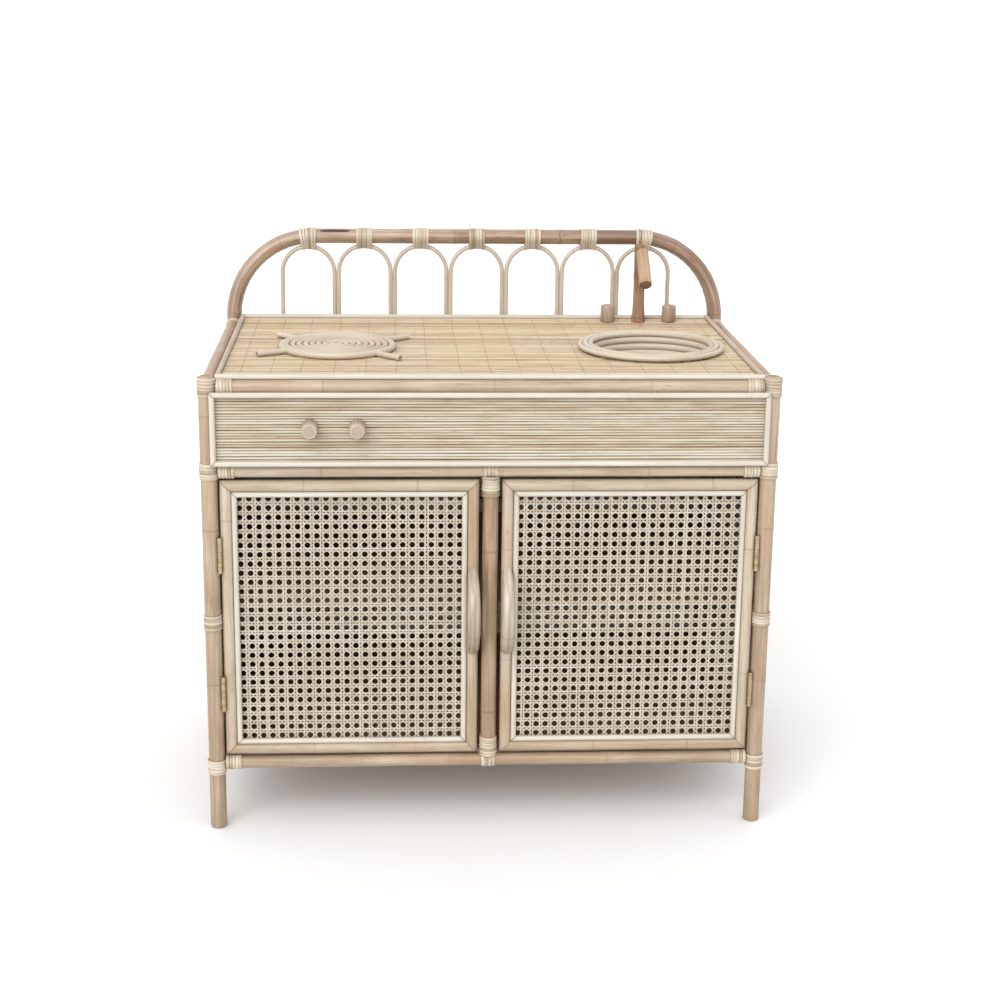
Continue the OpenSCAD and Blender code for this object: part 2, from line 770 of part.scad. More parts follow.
translate([0, -origin_y, 0]) {
    on_left() front_post();  // front_left_post
    front_post();  // front_right_post
    rear_hoop();
    centre_post();
    front_rail(counter_rail_z, rail_r);  // front_top_rail
    front_rail(middle_rail_z, slim_rail_r);  // front_middle_rail
    front_rail(bottom_rail_z, slim_rail_r);  // front_bottom_rail
    side_rails(-1);  // left_side_rails
    side_rails(1);  // right_side_rails
    rear_rails();
    counter_board();
    counter_mat();
    counter_trims();
    fascia_board();
    fascia_mat();
    fascia_trims();
    side_panels(-1);  // left_side_panels
    side_panels(1);  // right_side_panels
    rear_panels();
    panel_trims();
    lying_board(shelf_rail_z, shelf_front_y);  // shelf_board
    lying_board(bottom_rail_z, floor_front_y);  // floor_board
    splashback_arches();
    arch_bindings();
    front_bindings();
    side_bindings();
    rear_bindings();
    hob_coil();
    hob_sticks();
    sink_rim();
    sink_bowl();
    tap_riser();
    tap_spout();
    hinge_post_leaves();
    hinge_pins();
    hinge_post_screws();
    knob_spindles();
    door_catch();
    catch_magnets();
    on_left() door_rails();  // left_door_rails
    on_left() door_stile(true);  // left_door_hinge_stile
    on_left() door_stile(false);  // left_door_latch_stile
    on_left() door_bead();  // left_door_bead
    on_left() door_cane();  // left_door_cane
    on_left() door_handle();  // left_door_handle
    on_left() door_leaves();  // left_hinge_leaves
    on_left() door_strike();  // left_door_strike
    door_rails();  // right_door_rails
    door_stile(true);  // right_door_hinge_stile
    door_stile(false);  // right_door_latch_stile
    door_bead();  // right_door_bead
    door_cane();  // right_door_cane
    door_handle();  // right_door_handle
    door_leaves();  // right_hinge_leaves
    door_strike();  // right_door_strike
    hob_knob(-1);  // hob_knob_left
    hob_knob(1);  // hob_knob_right
    tap_knob(-1);  // tap_knob_left
    tap_knob(1);  // tap_knob_right
}
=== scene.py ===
"""The looks of the rattan toy kitchen. Metres, +Z up, front towards -Y.

Poles, rods, bindings, slats and woven cane replace the plain CAD solids that hold their places.
"""
import math
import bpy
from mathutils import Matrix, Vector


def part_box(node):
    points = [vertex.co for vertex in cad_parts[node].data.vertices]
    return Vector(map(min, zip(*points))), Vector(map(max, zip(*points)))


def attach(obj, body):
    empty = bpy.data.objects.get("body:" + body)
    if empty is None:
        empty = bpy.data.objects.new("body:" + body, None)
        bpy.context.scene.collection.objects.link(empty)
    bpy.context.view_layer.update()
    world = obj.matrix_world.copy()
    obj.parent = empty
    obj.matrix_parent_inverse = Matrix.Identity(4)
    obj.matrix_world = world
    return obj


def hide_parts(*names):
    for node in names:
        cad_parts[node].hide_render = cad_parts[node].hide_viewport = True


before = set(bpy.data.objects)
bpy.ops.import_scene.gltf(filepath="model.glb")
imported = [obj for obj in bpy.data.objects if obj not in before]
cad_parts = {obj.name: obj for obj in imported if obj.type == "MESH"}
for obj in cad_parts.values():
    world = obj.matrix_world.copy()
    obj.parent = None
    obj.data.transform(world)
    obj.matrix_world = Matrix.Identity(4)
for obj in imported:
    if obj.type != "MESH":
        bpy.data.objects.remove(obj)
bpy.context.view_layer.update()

import zlib

import bpy
import numpy as np
from mathutils import Matrix, Vector

MM = 0.001
X, Y, Z = np.eye(3)
SIDES = ("left", "right")


# ---- Where things are: every place is read from the CAD frame ----

def node_box(node):
    """Lowest and highest corner of a CAD node, as arrays."""
    low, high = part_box(node)
    return np.array(low), np.array(high)


def solids(node):
    """The box of each separate solid of a CAD node, as (lowest, highest) corners."""
    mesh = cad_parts[node].data
    points = np.empty(len(mesh.vertices) * 3, np.float32)
    mesh.vertices.foreach_get("co", points)
    points = points.reshape(-1, 3).astype(float)
    weld = np.unique(np.round(points * 1e5).astype(int), axis=0, return_inverse=True)[1].ravel()
    edges = np.empty(len(mesh.edges) * 2, np.int32)
    mesh.edges.foreach_get("vertices", edges)
    group = list(range(weld.max() + 1))

    def root(i):
        while group[i] != i:
            group[i] = group[group[i]]
            i = group[i]
        return i

    for a, b in weld[edges].reshape(-1, 2).tolist():
        group[root(a)] = root(b)
    owner = np.array([root(i) for i in range(len(group))])[weld]
    boxes = [(points[owner == g].min(0), points[owner == g].max(0)) for g in np.unique(owner)]
    return sorted(boxes, key=lambda box: tuple(np.round(box[0], 4)))


def rods(node):
    """(start, end, radius) of each straight round solid of a CAD node."""
    found = []
    for low, high in solids(node):
        size = high - low
        along = int(np.argmax(size))
        start, end = (low + high) / 2, (low + high) / 2
        start[along], end[along] = low[along], high[along]
        found.append((start, end, np.delete(size, along).min() / 2))
    return found


def frame_rods(node):
    """(start, end, radius) of the four rods of each upright rod frame of a CAD node."""
    found = []
    for low, high in solids(node):
        size, middle = high - low, (low + high) / 2
        r = size.min() / 2
        along = 0 if size[0] > size[1] else 1
        for share in (-1, 1):
            level, upright = np.array([middle, middle]), np.array([middle, middle])
            level[:, 2] += share * (size[2] / 2 - r)
            level[:, along] = low[along], high[along]
            upright[:, along] += share * (size[along] / 2 - r)
            upright[:, 2] = low[2] + 2 * r, high[2] - 2 * r
            found += [(*level, r), (*upright, r)]
    return found


POST_LOW, POST_HIGH = node_box("front_right_post")
POST_R = (POST_HIGH[0] - POST_LOW[0]) / 2
POST_X = (POST_LOW[0] + POST_HIGH[0]) / 2
FRONT_Y = (POST_LOW[1] + POST_HIGH[1]) / 2
HOOP_LOW, HOOP_HIGH = node_box("rear_hoop")
REAR_Y = (HOOP_LOW[1] + HOOP_HIGH[1]) / 2
HOOP_Z = HOOP_HIGH[2] - POST_R
BEND_R = 100 * MM
MAT_LOW, MAT_HIGH = node_box("counter_mat")
MAT_Z = MAT_HIGH[2]


# ---- Meshes: rods and strips are gathered into one mesh for each piece ----

class Stock:
    """Rods and strips of one piece, with what the materials read at each point: pole is the place in
    the straightened rod (along, across, out), tint shifts the tone, and ring darkens a node."""

    def __init__(self, name):
        self.name = name
        self.rng = np.random.default_rng(zlib.crc32(name.encode()))
        self.points, self.pole, self.tint, self.ring = [], [], [], []
        self.corners, self.sizes, self.slots = [], [], []
        self.count = 0

    def add(self, points, pole, tint, ring, quads, ends):
        self.points.append(points)
        self.pole.append(pole)
        self.tint.append(tint)
        self.ring.append(ring)
        self.corners.append((quads + self.count).ravel())
        self.sizes.append(np.full(len(quads), 4))
        self.slots.append(np.zeros(len(quads), int))
        for end in ends:
            self.corners.append(end + self.count)
            self.sizes.append(np.array([len(end)]))
            self.slots.append(np.ones(1, int))
        self.count += len(points)

    def make(self, slot, look, nodes, cut=None, crease=38, body="cabinet"):
        """The mesh object, which stands for the CAD nodes and rides on the body. look is the material
        of the rods' sides, and cut the one of their ends."""
        mesh = bpy.data.meshes.new(self.name)
        points, corners = np.concatenate(self.points), np.concatenate(self.corners)
        sizes, slots = np.concatenate(self.sizes), np.concatenate(self.slots)
        mesh.vertices.add(len(points))
        mesh.vertices.foreach_set("co", points.astype(np.float32).ravel())
        mesh.loops.add(len(corners))
        mesh.loops.foreach_set("vertex_index", corners.astype(np.int32))
        mesh.polygons.add(len(sizes))
        mesh.polygons.foreach_set("loop_start", (np.cumsum(sizes) - sizes).astype(np.int32))
        mesh.polygons.foreach_set("material_index", slots.astype(np.int32))
        mesh.update(calc_edges=True)
        mesh.polygons.foreach_set("use_smooth", np.ones(len(sizes), bool))
        for name, kind, key, values in (("pole", "FLOAT_VECTOR", "vector", self.pole),
                                        ("tint", "FLOAT", "value", self.tint),
                                        ("ring", "FLOAT", "value", self.ring)):
            data = mesh.attributes.new(name, kind, "POINT").data
            data.foreach_set(key, np.concatenate(values).astype(np.float32).ravel())
        mesh.set_sharp_from_angle(angle=math.radians(crease))
        for material in (look, cut or CUT):
            mesh.materials.append(material)
        piece = bpy.data.objects.new(self.name, mesh)
        bpy.context.scene.collection.objects.link(piece)
        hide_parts(*nodes)
        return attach(piece, body)


def round_section(sides):
    turn = np.arange(sides) * 2 * math.pi / sides
    return np.stack((np.cos(turn), np.sin(turn)), 1)


def strip_section():
    """The flattened section of a strip of cane."""
    circle, squareness = round_section(12), 0.75
    return np.sign(circle) * abs(circle) ** squareness


def half_section(points=7):
    """A half-round section with a flat underside."""
    turn = np.linspace(0, math.pi, points)
    return np.stack((np.cos(turn), np.sin(turn)), 1)


def unit(v):
    return v / np.linalg.norm(v, axis=-1, keepdims=True)


def distances(path):
    return np.concatenate(([0], np.cumsum(np.linalg.norm(np.diff(path, axis=0), axis=1))))


def drift(rng, s, period):
    """A slow uneven wave between about -1 and 1."""
    slow, quick = rng.uniform(0, 2 * math.pi, 2)
    return (0.6 * np.sin(2 * math.pi * s / period + slow)
            + 0.4 * np.sin(5.3 * s / period * 2 + quick))


# How much of a mitred rod's end is sheared to make its slant, in times its thickness
MITRE_REACH = 2.4


def tube(stock, path, half, side, section, closed=False, mitre=False, tint=0.0, ring=0.0):
    """Sweeps a section along a path. half is its half width along side and across it, at each point.
    mitre slants both ends towards side."""
    path = np.asarray(path, float)
    count, corners = len(path), len(section)
    ahead = np.roll(path, -1, 0) - np.roll(path, 1, 0) if closed else np.gradient(path, axis=0)
    tangent = unit(ahead)
    side = np.broadcast_to(side, path.shape)
    side = unit(side - tangent * (side * tangent).sum(1, keepdims=True))
    up = np.cross(tangent, side)
    half = np.broadcast_to(half, (count, 2))
    across, out = half[:, :1] * section[:, 0], half[:, 1:] * section[:, 1]
    points = path[:, None] + across[..., None] * side[:, None] + out[..., None] * up[:, None]
    if mitre:
        run = distances(path) / (MITRE_REACH * half.max())
        shear = np.clip(1 - run, 0, 1) - np.clip(1 - run[-1] + run, 0, 1)
        points += (shear[:, None] * across)[..., None] * tangent[:, None]
    along = distances(path)[:, None] + stock.rng.uniform(0, 5) + 0 * across
    low = np.arange(count if closed else count - 1)[:, None] * corners
    high = (low + corners) % (count * corners)
    here, after = np.arange(corners), (np.arange(corners) + 1) % corners
    quads = np.stack((low + here, low + after, high + after, high + here), -1).reshape(-1, 4)
    ends = [] if closed else [here[::-1], (count - 1) * corners + here]
    stock.add(points.reshape(-1, 3), np.stack((along, across, out), -1).reshape(-1, 3),
              np.repeat(np.broadcast_to(tint, count), corners),
              np.repeat(np.broadcast_to(ring, count), corners), quads, ends)


def uneven(rng, length, gap):
    """Distances of a pole's nodes from its start."""
    places, at = [], rng.uniform(0.2, 0.9) * gap[0]
    while at < length:
        places.append(at)
        at += rng.uniform(*gap)
    return places


def stations(length, step, nodes, tips):
    """Distances at which a pole has a ring of points: even ones, and close ones at nodes and tips."""
    s = list(np.linspace(0, length, max(2, round(length / step) + 1)))
    for node in nodes:
        s += [node + d * MM for d in (-8, -4, -2, -0.9, 0, 0.9, 2, 4, 8)]
    for tip, sign, base in ((tips[0], 1, 0), (tips[1], -1, length)):
        s += [base + sign * tip * (1 - math.cos(math.radians(a))) for a in (25, 45, 65, 90) if tip]
    s = np.array(sorted(d for d in s if 0 <= d <= length))
    return s[np.concatenate(([True], np.diff(s) > 0.12 * MM))]


# Along a pole: a node's swelling, the groove in it, its dark ring, and the change of tone at it
SWELL_WIDTH, GROOVE_WIDTH, RING_WIDTH, TONE_WIDTH = 4 * MM, 0.8 * MM, 1.1 * MM, 5 * MM
NODE_GAP = (0.14, 0.24)


def pole(stock, line, radius, side, nodes=None, tips=(0, 0), mitre=False, tint=0.0, patchy=0.28,
         bow=0.0, taper=(1, 1), sides=18, step=0.03, swell=0.035, rings=0.8):
    """A rattan pole along a line, with nodes at which its tone changes. tips are the lengths of its
    rounded ends, bow is how far its middle is off the line, and taper and tint run over its length."""
    rng = stock.rng
    line = np.asarray(line, float)
    run = distances(line)
    length = run[-1]
    nodes = uneven(rng, length, NODE_GAP) if nodes is None else nodes
    s = stations(length, step, nodes + [0, length] if mitre else nodes, tips)
    path = np.stack([np.interp(s, run, line[:, i]) for i in range(3)], 1)
    thickness = np.interp(s / length, np.linspace(0, 1, len(taper)), taper)
    r = radius * thickness * (1 + 0.01 * drift(rng, s, 0.21))
    ring = np.zeros(len(s))
    tone = np.interp(s / length, (0, 1), np.broadcast_to(tint, 2)) + rng.normal(0, patchy)
    for node in nodes:
        past = s - node
        groove = 0.04 * np.exp(-(past / GROOVE_WIDTH) ** 2)
        r = r + radius * (swell * np.exp(-(past / SWELL_WIDTH) ** 2) - groove)
        shade = rings * rng.uniform(0.35, 1.0)
        ring = np.maximum(ring, shade * np.exp(-(past / RING_WIDTH) ** 2))
        tone = tone + rng.normal(0, patchy) * (1 + np.tanh(past / TONE_WIDTH)) / 2
    for tip, d in ((tips[0], s), (tips[1], length - s)):
        if mitre:
            ring = np.maximum(ring, 0.9 * np.exp(-d / (0.7 * MM)))
        if tip:
            r = r - tip * (1 - np.sqrt(1 - (1 - np.clip(d / tip, 0, 1)) ** 2))
    bend = bow * np.sin(math.pi * s / length)
    path = path + bend[:, None] * unit(np.cross(line[-1] - line[0], side))
    tube(stock, path, np.stack((r, r), 1), side, round_section(sides), mitre=mitre, tint=tone,
         ring=ring)


STRIP, THICK = 3.3 * MM, 1.5 * MM


def turn_tint(rng):
    """The tone of one turn of cane: most are pale, and some are a weathered grey brown."""
    return rng.normal(0.3, 0.5) if rng.random() < 0.8 else rng.normal(-1.4, 0.5)


def wind(stock, centre, axis, radius, length, strip=STRIP):
    """Turns of flat cane, side by side round a pole."""
    rng = stock.rng
    across = unit(np.cross(axis, Z if abs(axis[2]) < 0.9 else X))
    out = np.cross(axis, across)
    turn = np.linspace(0, 2 * math.pi, 40, endpoint=False)[:, None]
    circle = (radius + 0.35 * THICK) * (np.cos(turn) * across + np.sin(turn) * out)
    count = max(2, round(length / strip))
    pitch = length / count
    lean = rng.uniform(-0.35, 0.35) * MM
    for k in range(count):
        offset = (k + 0.5) * pitch - length / 2 + rng.normal(0, 0.08 * MM)
        tilt = lean + rng.normal(0, 0.1 * MM)
        size = 1 + rng.normal(0, 0.012)
        ring = centre + axis * (offset + tilt * np.sin(turn + 0.7)) + circle * size
        tube(stock, ring, (0.49 * pitch, THICK / 2), axis, strip_section(), closed=True,
             tint=turn_tint(rng))


# ---- Materials ----

def srgb(r, g, b):
    """A colour of the screen's 0 to 255 values, as the renderer's own."""
    return (*(((v / 255 + 0.055) / 1.055) ** 2.4 if v > 10 else v / 3295 for v in (r, g, b)), 1.0)


# The share of a screen colour that a surface has to reflect to look like it in this light
LIT = 0.61
NONE, ALL = (0, 0, 0, 1), (1, 1, 1, 1)


def seen(colour):
    """The base colour that looks like this screen colour in the studio's light."""
    return (*(LIT * v for v in srgb(*colour)[:3]), 1.0)


class Graph:
    """Short calls for the node tree of one material."""

    def __init__(self, name):
        self.material = bpy.data.materials.new(name)
        self.material.use_nodes = True
        self.tree = self.material.node_tree
        self.shader = self.tree.nodes["Principled BSDF"]

    def node(self, kind, inputs=(), **settings):
        made = self.tree.nodes.new(kind)
        for key, value in settings.items():
            setattr(made, key, value)
        for key, value in dict(inputs).items():
            if isinstance(value, bpy.types.NodeSocket):
                self.tree.links.new(value, made.inputs[key])
            else:
                made.inputs[key].default_value = value
        return made

    def attribute(self, name, output="Fac"):
        return self.node("ShaderNodeAttribute", attribute_name=name).outputs[output]

    def object_place(self):
        return self.node("ShaderNodeTexCoord").outputs["Object"]

    def scaled(self, vector, scale):
        inputs = {0: vector, 1: scale}
        return self.node("ShaderNodeVectorMath", inputs, operation="MULTIPLY").outputs[0]

    def noise(self, vector, scale, detail, distortion=0.0):
        inputs = {"Vector": self.scaled(vector, scale), "Scale": 1.0, "Detail": detail,
                  "Roughness": 0.55, "Distortion": distortion}
        return self.node("ShaderNodeTexNoise", inputs).outputs[0]

    def math(self, operation, *values):
        return self.node("ShaderNodeMath", dict(enumerate(values)), operation=operation).outputs[0]

    def around(self, value, amount, base):
        """base plus amount times how far a noise is from its middle."""
        off = self.math("SUBTRACT", value, 0.5)
        return self.math("ADD", self.math("MULTIPLY", off, amount), base)

    def ramp(self, value, *stops):
        made = self.node("ShaderNodeValToRGB", {0: value})
        elements = made.color_ramp.elements
        while len(elements) < len(stops):
            elements.new(0.5)
        for element, (place, colour) in zip(elements, stops):
            element.position = place
            element.color = colour
        return made.outputs[0]

    def mix(self, share, first, second):
        inputs = {0: share, 6: first, 7: second}
        return self.node("ShaderNodeMix", inputs, data_type="RGBA").outputs[2]

    def between(self, value, start, end, low, high):
        """A value carried from the range start to end over to the range low to high."""
        inputs = {0: value, 1: start, 2: end, 3: low, 4: high}
        return self.node("ShaderNodeMapRange", inputs).outputs[0]

    def finish(self, colour, roughness, height, depth, strength=0.5):
        self.tree.links.new(colour, self.shader.inputs["Base Color"])
        self.tree.links.new(roughness, self.shader.inputs["Roughness"])
        inputs = {"Height": height, "Distance": depth, "Strength": strength}
        bump = self.node("ShaderNodeBump", inputs)
        self.tree.links.new(bump.outputs[0], self.shader.inputs["Normal"])
        return self.material


FLUSH = (206, 160, 126)
KNOTS_A_METRE = 7.1


def rattan(name, deep, middle, light, node_colour=(122, 92, 66), fibre=0.5, streak=0.7, blotch=0.7,
           tones=0.16, roughness=0.42, flecks=0.3, flush=0.0, groove=None, knots=0.0, gloss=0.5):
    """Rattan that follows the rod: fine fibres, longer streaks, soft blotches, dark node rings and
    flecks. flush adds pinkish patches. groove is (which way, from, to, colour) of painted shade along
    the lines between rods. knots is how dark the short marks along the rod are."""
    g = Graph(name)
    g.shader.inputs["Specular IOR Level"].default_value = gloss
    place = g.attribute("pole", "Vector")
    fibres = g.noise(place, (24, 1500, 1500), 3)
    streaks = g.noise(place, (10, 330, 330), 2)
    blotches = g.noise(place, (16, 42, 42), 2)
    value = g.around(fibres, fibre, 0.5)
    value = g.math("ADD", value, g.around(streaks, streak, 0.0))
    value = g.math("ADD", value, g.around(blotches, blotch, 0.0))
    value = g.math("ADD", value, g.math("MULTIPLY", g.attribute("tint"), tones))
    colour = g.ramp(value, (0.12, seen(deep)), (0.5, seen(middle)), (0.88, seen(light)))
    if flush:
        patches = g.ramp(g.noise(place, (8, 60, 60), 3, 0.6), (0.48, NONE), (0.68, ALL))
        colour = g.mix(g.math("MULTIPLY", patches, flush), colour, seen(FLUSH))
    # Painted shade in the grooves between rods, full below start and gone past end.
    if groove:
        way, start, end, groove_shade_colour = groove
        apart = g.node("ShaderNodeSeparateXYZ", {0: place}).outputs[way]
        colour = g.mix(g.between(apart, start, end, 1.0, 0.0), colour, seen(groove_shade_colour))
    marks = g.ramp(g.noise(place, (70, 620, 620), 1), (0.62, NONE), (0.74, ALL))
    ring = g.attribute("ring")
    dark = g.math("MAXIMUM", g.math("MULTIPLY", ring, 0.8), g.math("MULTIPLY", marks, flecks))
    if knots:
        along = g.node("ShaderNodeSeparateXYZ", {0: place}).outputs[0]
        turn = g.math("FRACT", g.math("MULTIPLY", along, KNOTS_A_METRE))
        dark = g.math("MAXIMUM", dark, g.between(turn, 0.008, 0.016, knots, 0.0))
    colour = g.mix(dark, colour, seen(node_colour))
    height = g.math("ADD", g.math("MULTIPLY", fibres, 0.6), g.math("MULTIPLY", streaks, 0.4))
    return g.finish(colour, g.around(streaks, 0.35, roughness), height, 0.25 * MM)


def end_grain(name, deep, light, rim=None):
    """The cut end of a rod, with its pores. rim is (radius, colour) of a paler skin round it."""
    g = Graph(name)
    place = g.attribute("pole", "Vector")
    fine = g.scaled(place, (0, 1900, 1900))
    pores = g.node("ShaderNodeTexVoronoi", {"Vector": fine, "Scale": 1.0}).outputs[0]
    cloud = g.noise(place, (0, 300, 300), 3)
    value = g.around(cloud, 0.8, g.math("MULTIPLY", pores, 0.75))
    colour = g.ramp(value, (0.1, seen(deep)), (0.75, seen(light)))
    if rim:
        radius, skin = rim
        flat = g.scaled(place, (0, 1, 1))
        out = g.node("ShaderNodeVectorMath", {0: flat}, operation="LENGTH").outputs["Value"]
        share = g.between(out, radius - 0.4 * MM, radius, 0.0, 1.0)
        colour = g.mix(share, colour, seen(skin))
    return g.finish(colour, g.around(cloud, 0.3, 0.7), pores, 0.3 * MM)


def metal(name, dark, light, roughness):
    g = Graph(name)
    place = g.object_place()
    brushed, darker_rod = g.noise(place, (900, 900, 60), 3), g.noise(place, (160, 160, 160), 3)
    g.shader.inputs["Metallic"].default_value = 1.0
    colour = g.mix(g.ramp(darker_rod, (0.35, NONE), (0.65, ALL)), seen(dark), seen(light))
    return g.finish(colour, g.around(brushed, 0.3, roughness), brushed, 0.08 * MM)


def plywood():
    g = Graph("plywood")
    place = g.object_place()
    grain = g.noise(place, (7, 190, 190), 4, 1.2)
    figure = g.noise(place, (4, 26, 26), 3, 0.8)
    value = g.math("ADD", g.around(grain, 0.6, 0.5), g.around(figure, 0.8, 0.0))
    stops = (0.15, seen((128, 94, 62))), (0.5, seen((168, 130, 92))), (0.85, seen((194, 160, 120)))
    return g.finish(g.ramp(value, *stops), g.around(grain, 0.25, 0.62), grain, 0.2 * MM)


def moulded(name, dark, light):
    g = Graph(name)
    place = g.object_place()
    texture, cloud = g.noise(place, (2600, 2600, 2600), 2), g.noise(place, (90, 90, 90), 2)
    colour = g.mix(cloud, seen(dark), seen(light))
    return g.finish(colour, g.around(texture, 0.2, 0.5), texture, 0.1 * MM)


# Painted shade in the grooves between rods: which way from the rod's middle, where it is full and where
# it ends, and its colour
COIL_GROOVE_SHADE = (1, 1.0 * MM, 3.1 * MM, (200, 166, 140))
STICK_GROOVE_SHADE = (2, 0.3 * MM, 0.9 * MM, (164, 146, 118))
SLAT_GROOVE_SHADE = (2, 0.3 * MM, 0.9 * MM, (172, 136, 98))
PALE = rattan("pale_pole", (178, 152, 124), (209, 188, 162), (232, 217, 196), streak=0.9,
              flush=0.35)
TAN = rattan("tan_pole", (132, 100, 78), (187, 156, 130), (222, 200, 176), (92, 64, 46), streak=1.0,
             flecks=0.5, flush=0.3, roughness=0.34, gloss=0.8)
SIDE = rattan("side_pole", (160, 124, 96), (208, 173, 142), (228, 204, 178), streak=0.9, flush=0.5)
CENTRE = rattan("centre_pole", (140, 108, 80), (180, 149, 119), (206, 180, 151), (110, 80, 56),
                streak=1.1)
DOOR = rattan("door_pole", (186, 162, 132), (213, 196, 171), (233, 220, 199), streak=0.8, flush=0.3)
GRIP = rattan("handle_pole", (158, 134, 108), (208, 190, 166), (240, 230, 214), streak=1.1,
              roughness=0.3, gloss=0.9)
COIL = rattan("coiled_rod", (208, 182, 152), (232, 214, 190), (243, 231, 213), streak=0.6,
              groove=COIL_GROOVE_SHADE)
CORE = rattan("core_rod", (207, 182, 152), (232, 214, 190), (243, 231, 213), streak=0.6,
              flecks=0.15)
ARCH = rattan("arch_rod", (202, 176, 150), (227, 209, 187), (241, 229, 212), streak=0.7, flecks=0.2)
WHITE = rattan("white_rod", (213, 200, 179), (235, 225, 208), (247, 241, 229), streak=0.5,
               flecks=0.12)
BINDING = rattan("binding_cane", (176, 150, 122), (230, 212, 187), (246, 235, 216), fibre=0.4,
                 streak=0.6)
WEAVE = rattan("woven_cane", (182, 163, 138), (213, 200, 181), (238, 230, 216), fibre=0.4,
               streak=0.5)
SLAT = rattan("straw_slat", (190, 156, 118), (224, 199, 163), (241, 224, 194), streak=0.6,
              tones=0.2, groove=SLAT_GROOVE_SHADE, knots=0.35)
STICK = rattan("core_stick", (204, 178, 148), (231, 216, 190), (244, 237, 221), streak=0.7,
               blotch=1.0, tones=0.19, groove=STICK_GROOVE_SHADE)
ROUND_STICK = rattan("round_stick", (206, 184, 152), (231, 216, 190), (243, 234, 214), streak=0.6)
TAP = rattan("tap_pole", (140, 98, 66), (192, 150, 114), (218, 184, 146), (108, 74, 50), streak=0.8,
             blotch=1.1)
SPOUT = rattan("spout_pole", (154, 112, 80), (200, 161, 125), (226, 194, 158), (118, 84, 58),
               streak=1.0)
KNOB = rattan("knob_stub", (184, 160, 134), (207, 187, 161), (230, 214, 193), streak=0.8)
TAP_KNOB = rattan("tap_knob_stub", (146, 114, 90), (194, 167, 142), (220, 199, 176), streak=1.2)
THREAD = rattan("thread", (150, 120, 84), (180, 148, 108), (200, 170, 130))
# A split's own dark colour, with the painted shade of its hollow.
SPLIT_SHADE = rattan("split_shade", (66, 40, 34), (84, 54, 46), (110, 78, 62))
CUT = end_grain("cut_end", (150, 118, 88), (212, 190, 162))
CUT_TAP = end_grain("tap_end", (128, 92, 64), (172, 134, 102))
CUT_KNOB = end_grain("knob_end", (190, 166, 146), (212, 193, 172), (6.5 * MM, (224, 206, 184)))
BRASS = metal("brass", (208, 178, 128), (240, 220, 180), 0.34)
STEEL = metal("steel", (140, 140, 142), (192, 192, 194), 0.36)


# ---- Frame ----

def front_posts():
    for side in SIDES:
        stock = Stock(f"{side}_front_pole")
        start, end, r = rods(f"front_{side}_post")[0]
        # tint darkens each post towards its foot: painted shade of the low parts.
        pole(stock, [start, end], r, X, nodes=[0.17, 0.345, 0.47], tips=(2.5 * MM, 3 * MM),
             bow=0.6 * MM, rings=0.5, tint=(-2.4, -0.7))
        stock.make("pale_pole", PALE, [f"front_{side}_post"])


def hoop_axis(x):
    """The hoop's axis point over x, and its direction there."""
    past = max(0.0, abs(x) - (POST_X - BEND_R)) / BEND_R
    lean = math.asin(past)
    direction = np.array([math.cos(lean), 0, -math.copysign(math.sin(lean), x)])
    return np.array([x, REAR_Y, HOOP_Z - BEND_R * (1 - math.cos(lean))]), direction


def hoop():
    """Both rear legs and the arched top, in one bent pole, with a dark strip on its top for a split:
    its own dark colour and painted shade of its hollow.
    """
    stock = Stock("hoop_pole")
    left = [(-POST_X, HOOP_LOW[2])]
    for a in np.radians(np.arange(90, -1, -5)):
        left.append((BEND_R * (1 - math.sin(a)) - POST_X, HOOP_Z - BEND_R * (1 - math.cos(a))))
    line = [(x, REAR_Y, z) for x, z in left] + [(-x, REAR_Y, z) for x, z in left[::-1]]
    top = HOOP_Z - BEND_R
    length = distances(np.array(line))[-1]
    nodes = [0.19, 0.37, top + 4 * MM, top + 0.115, top + 0.33, top + 0.46, length / 2 + 0.13,
             length - top - 0.11, length - top - 4 * MM, length - 0.36, length - 0.2]
    pole(stock, line, POST_R, -Y, nodes=sorted(nodes), tips=(2.5 * MM, 2.5 * MM), step=0.012,
         patchy=0.5)
    stock.make("tan_pole", TAN, ["rear_hoop"])
    # A thin dark strip on the hoop's top for a split: its own dark colour and painted shade of its
    # hollow.
    split_shade = Stock("hoop_scar")
    lean, points = math.radians(38), 12
    out = np.array([0, -math.sin(lean), math.cos(lean)])
    x = np.linspace(-193 * MM, -156 * MM, points)
    path = np.stack((x, REAR_Y + 0 * x, HOOP_Z + 0 * x), 1) + out * (POST_R - 0.25 * MM)
    width = 2.1 * MM * np.sqrt(np.clip(1 - (np.linspace(-1, 1, points)) ** 8, 0.05, 1))
    half = np.stack((width, np.full(points, 0.45 * MM)), 1)
    tube(split_shade, path, half, np.cross(X, out), strip_section())
    split_shade.make("tan_pole", SPLIT_SHADE, [], SPLIT_SHADE)


def exposed(start, end, r):
    """A rail's line, cut back to the outside of the cane turns on its posts."""
    cut = unit(end - start) * (POST_R + 0.8 * MM - math.sqrt(POST_R ** 2 - r ** 2))
    return [start + cut, end - cut]


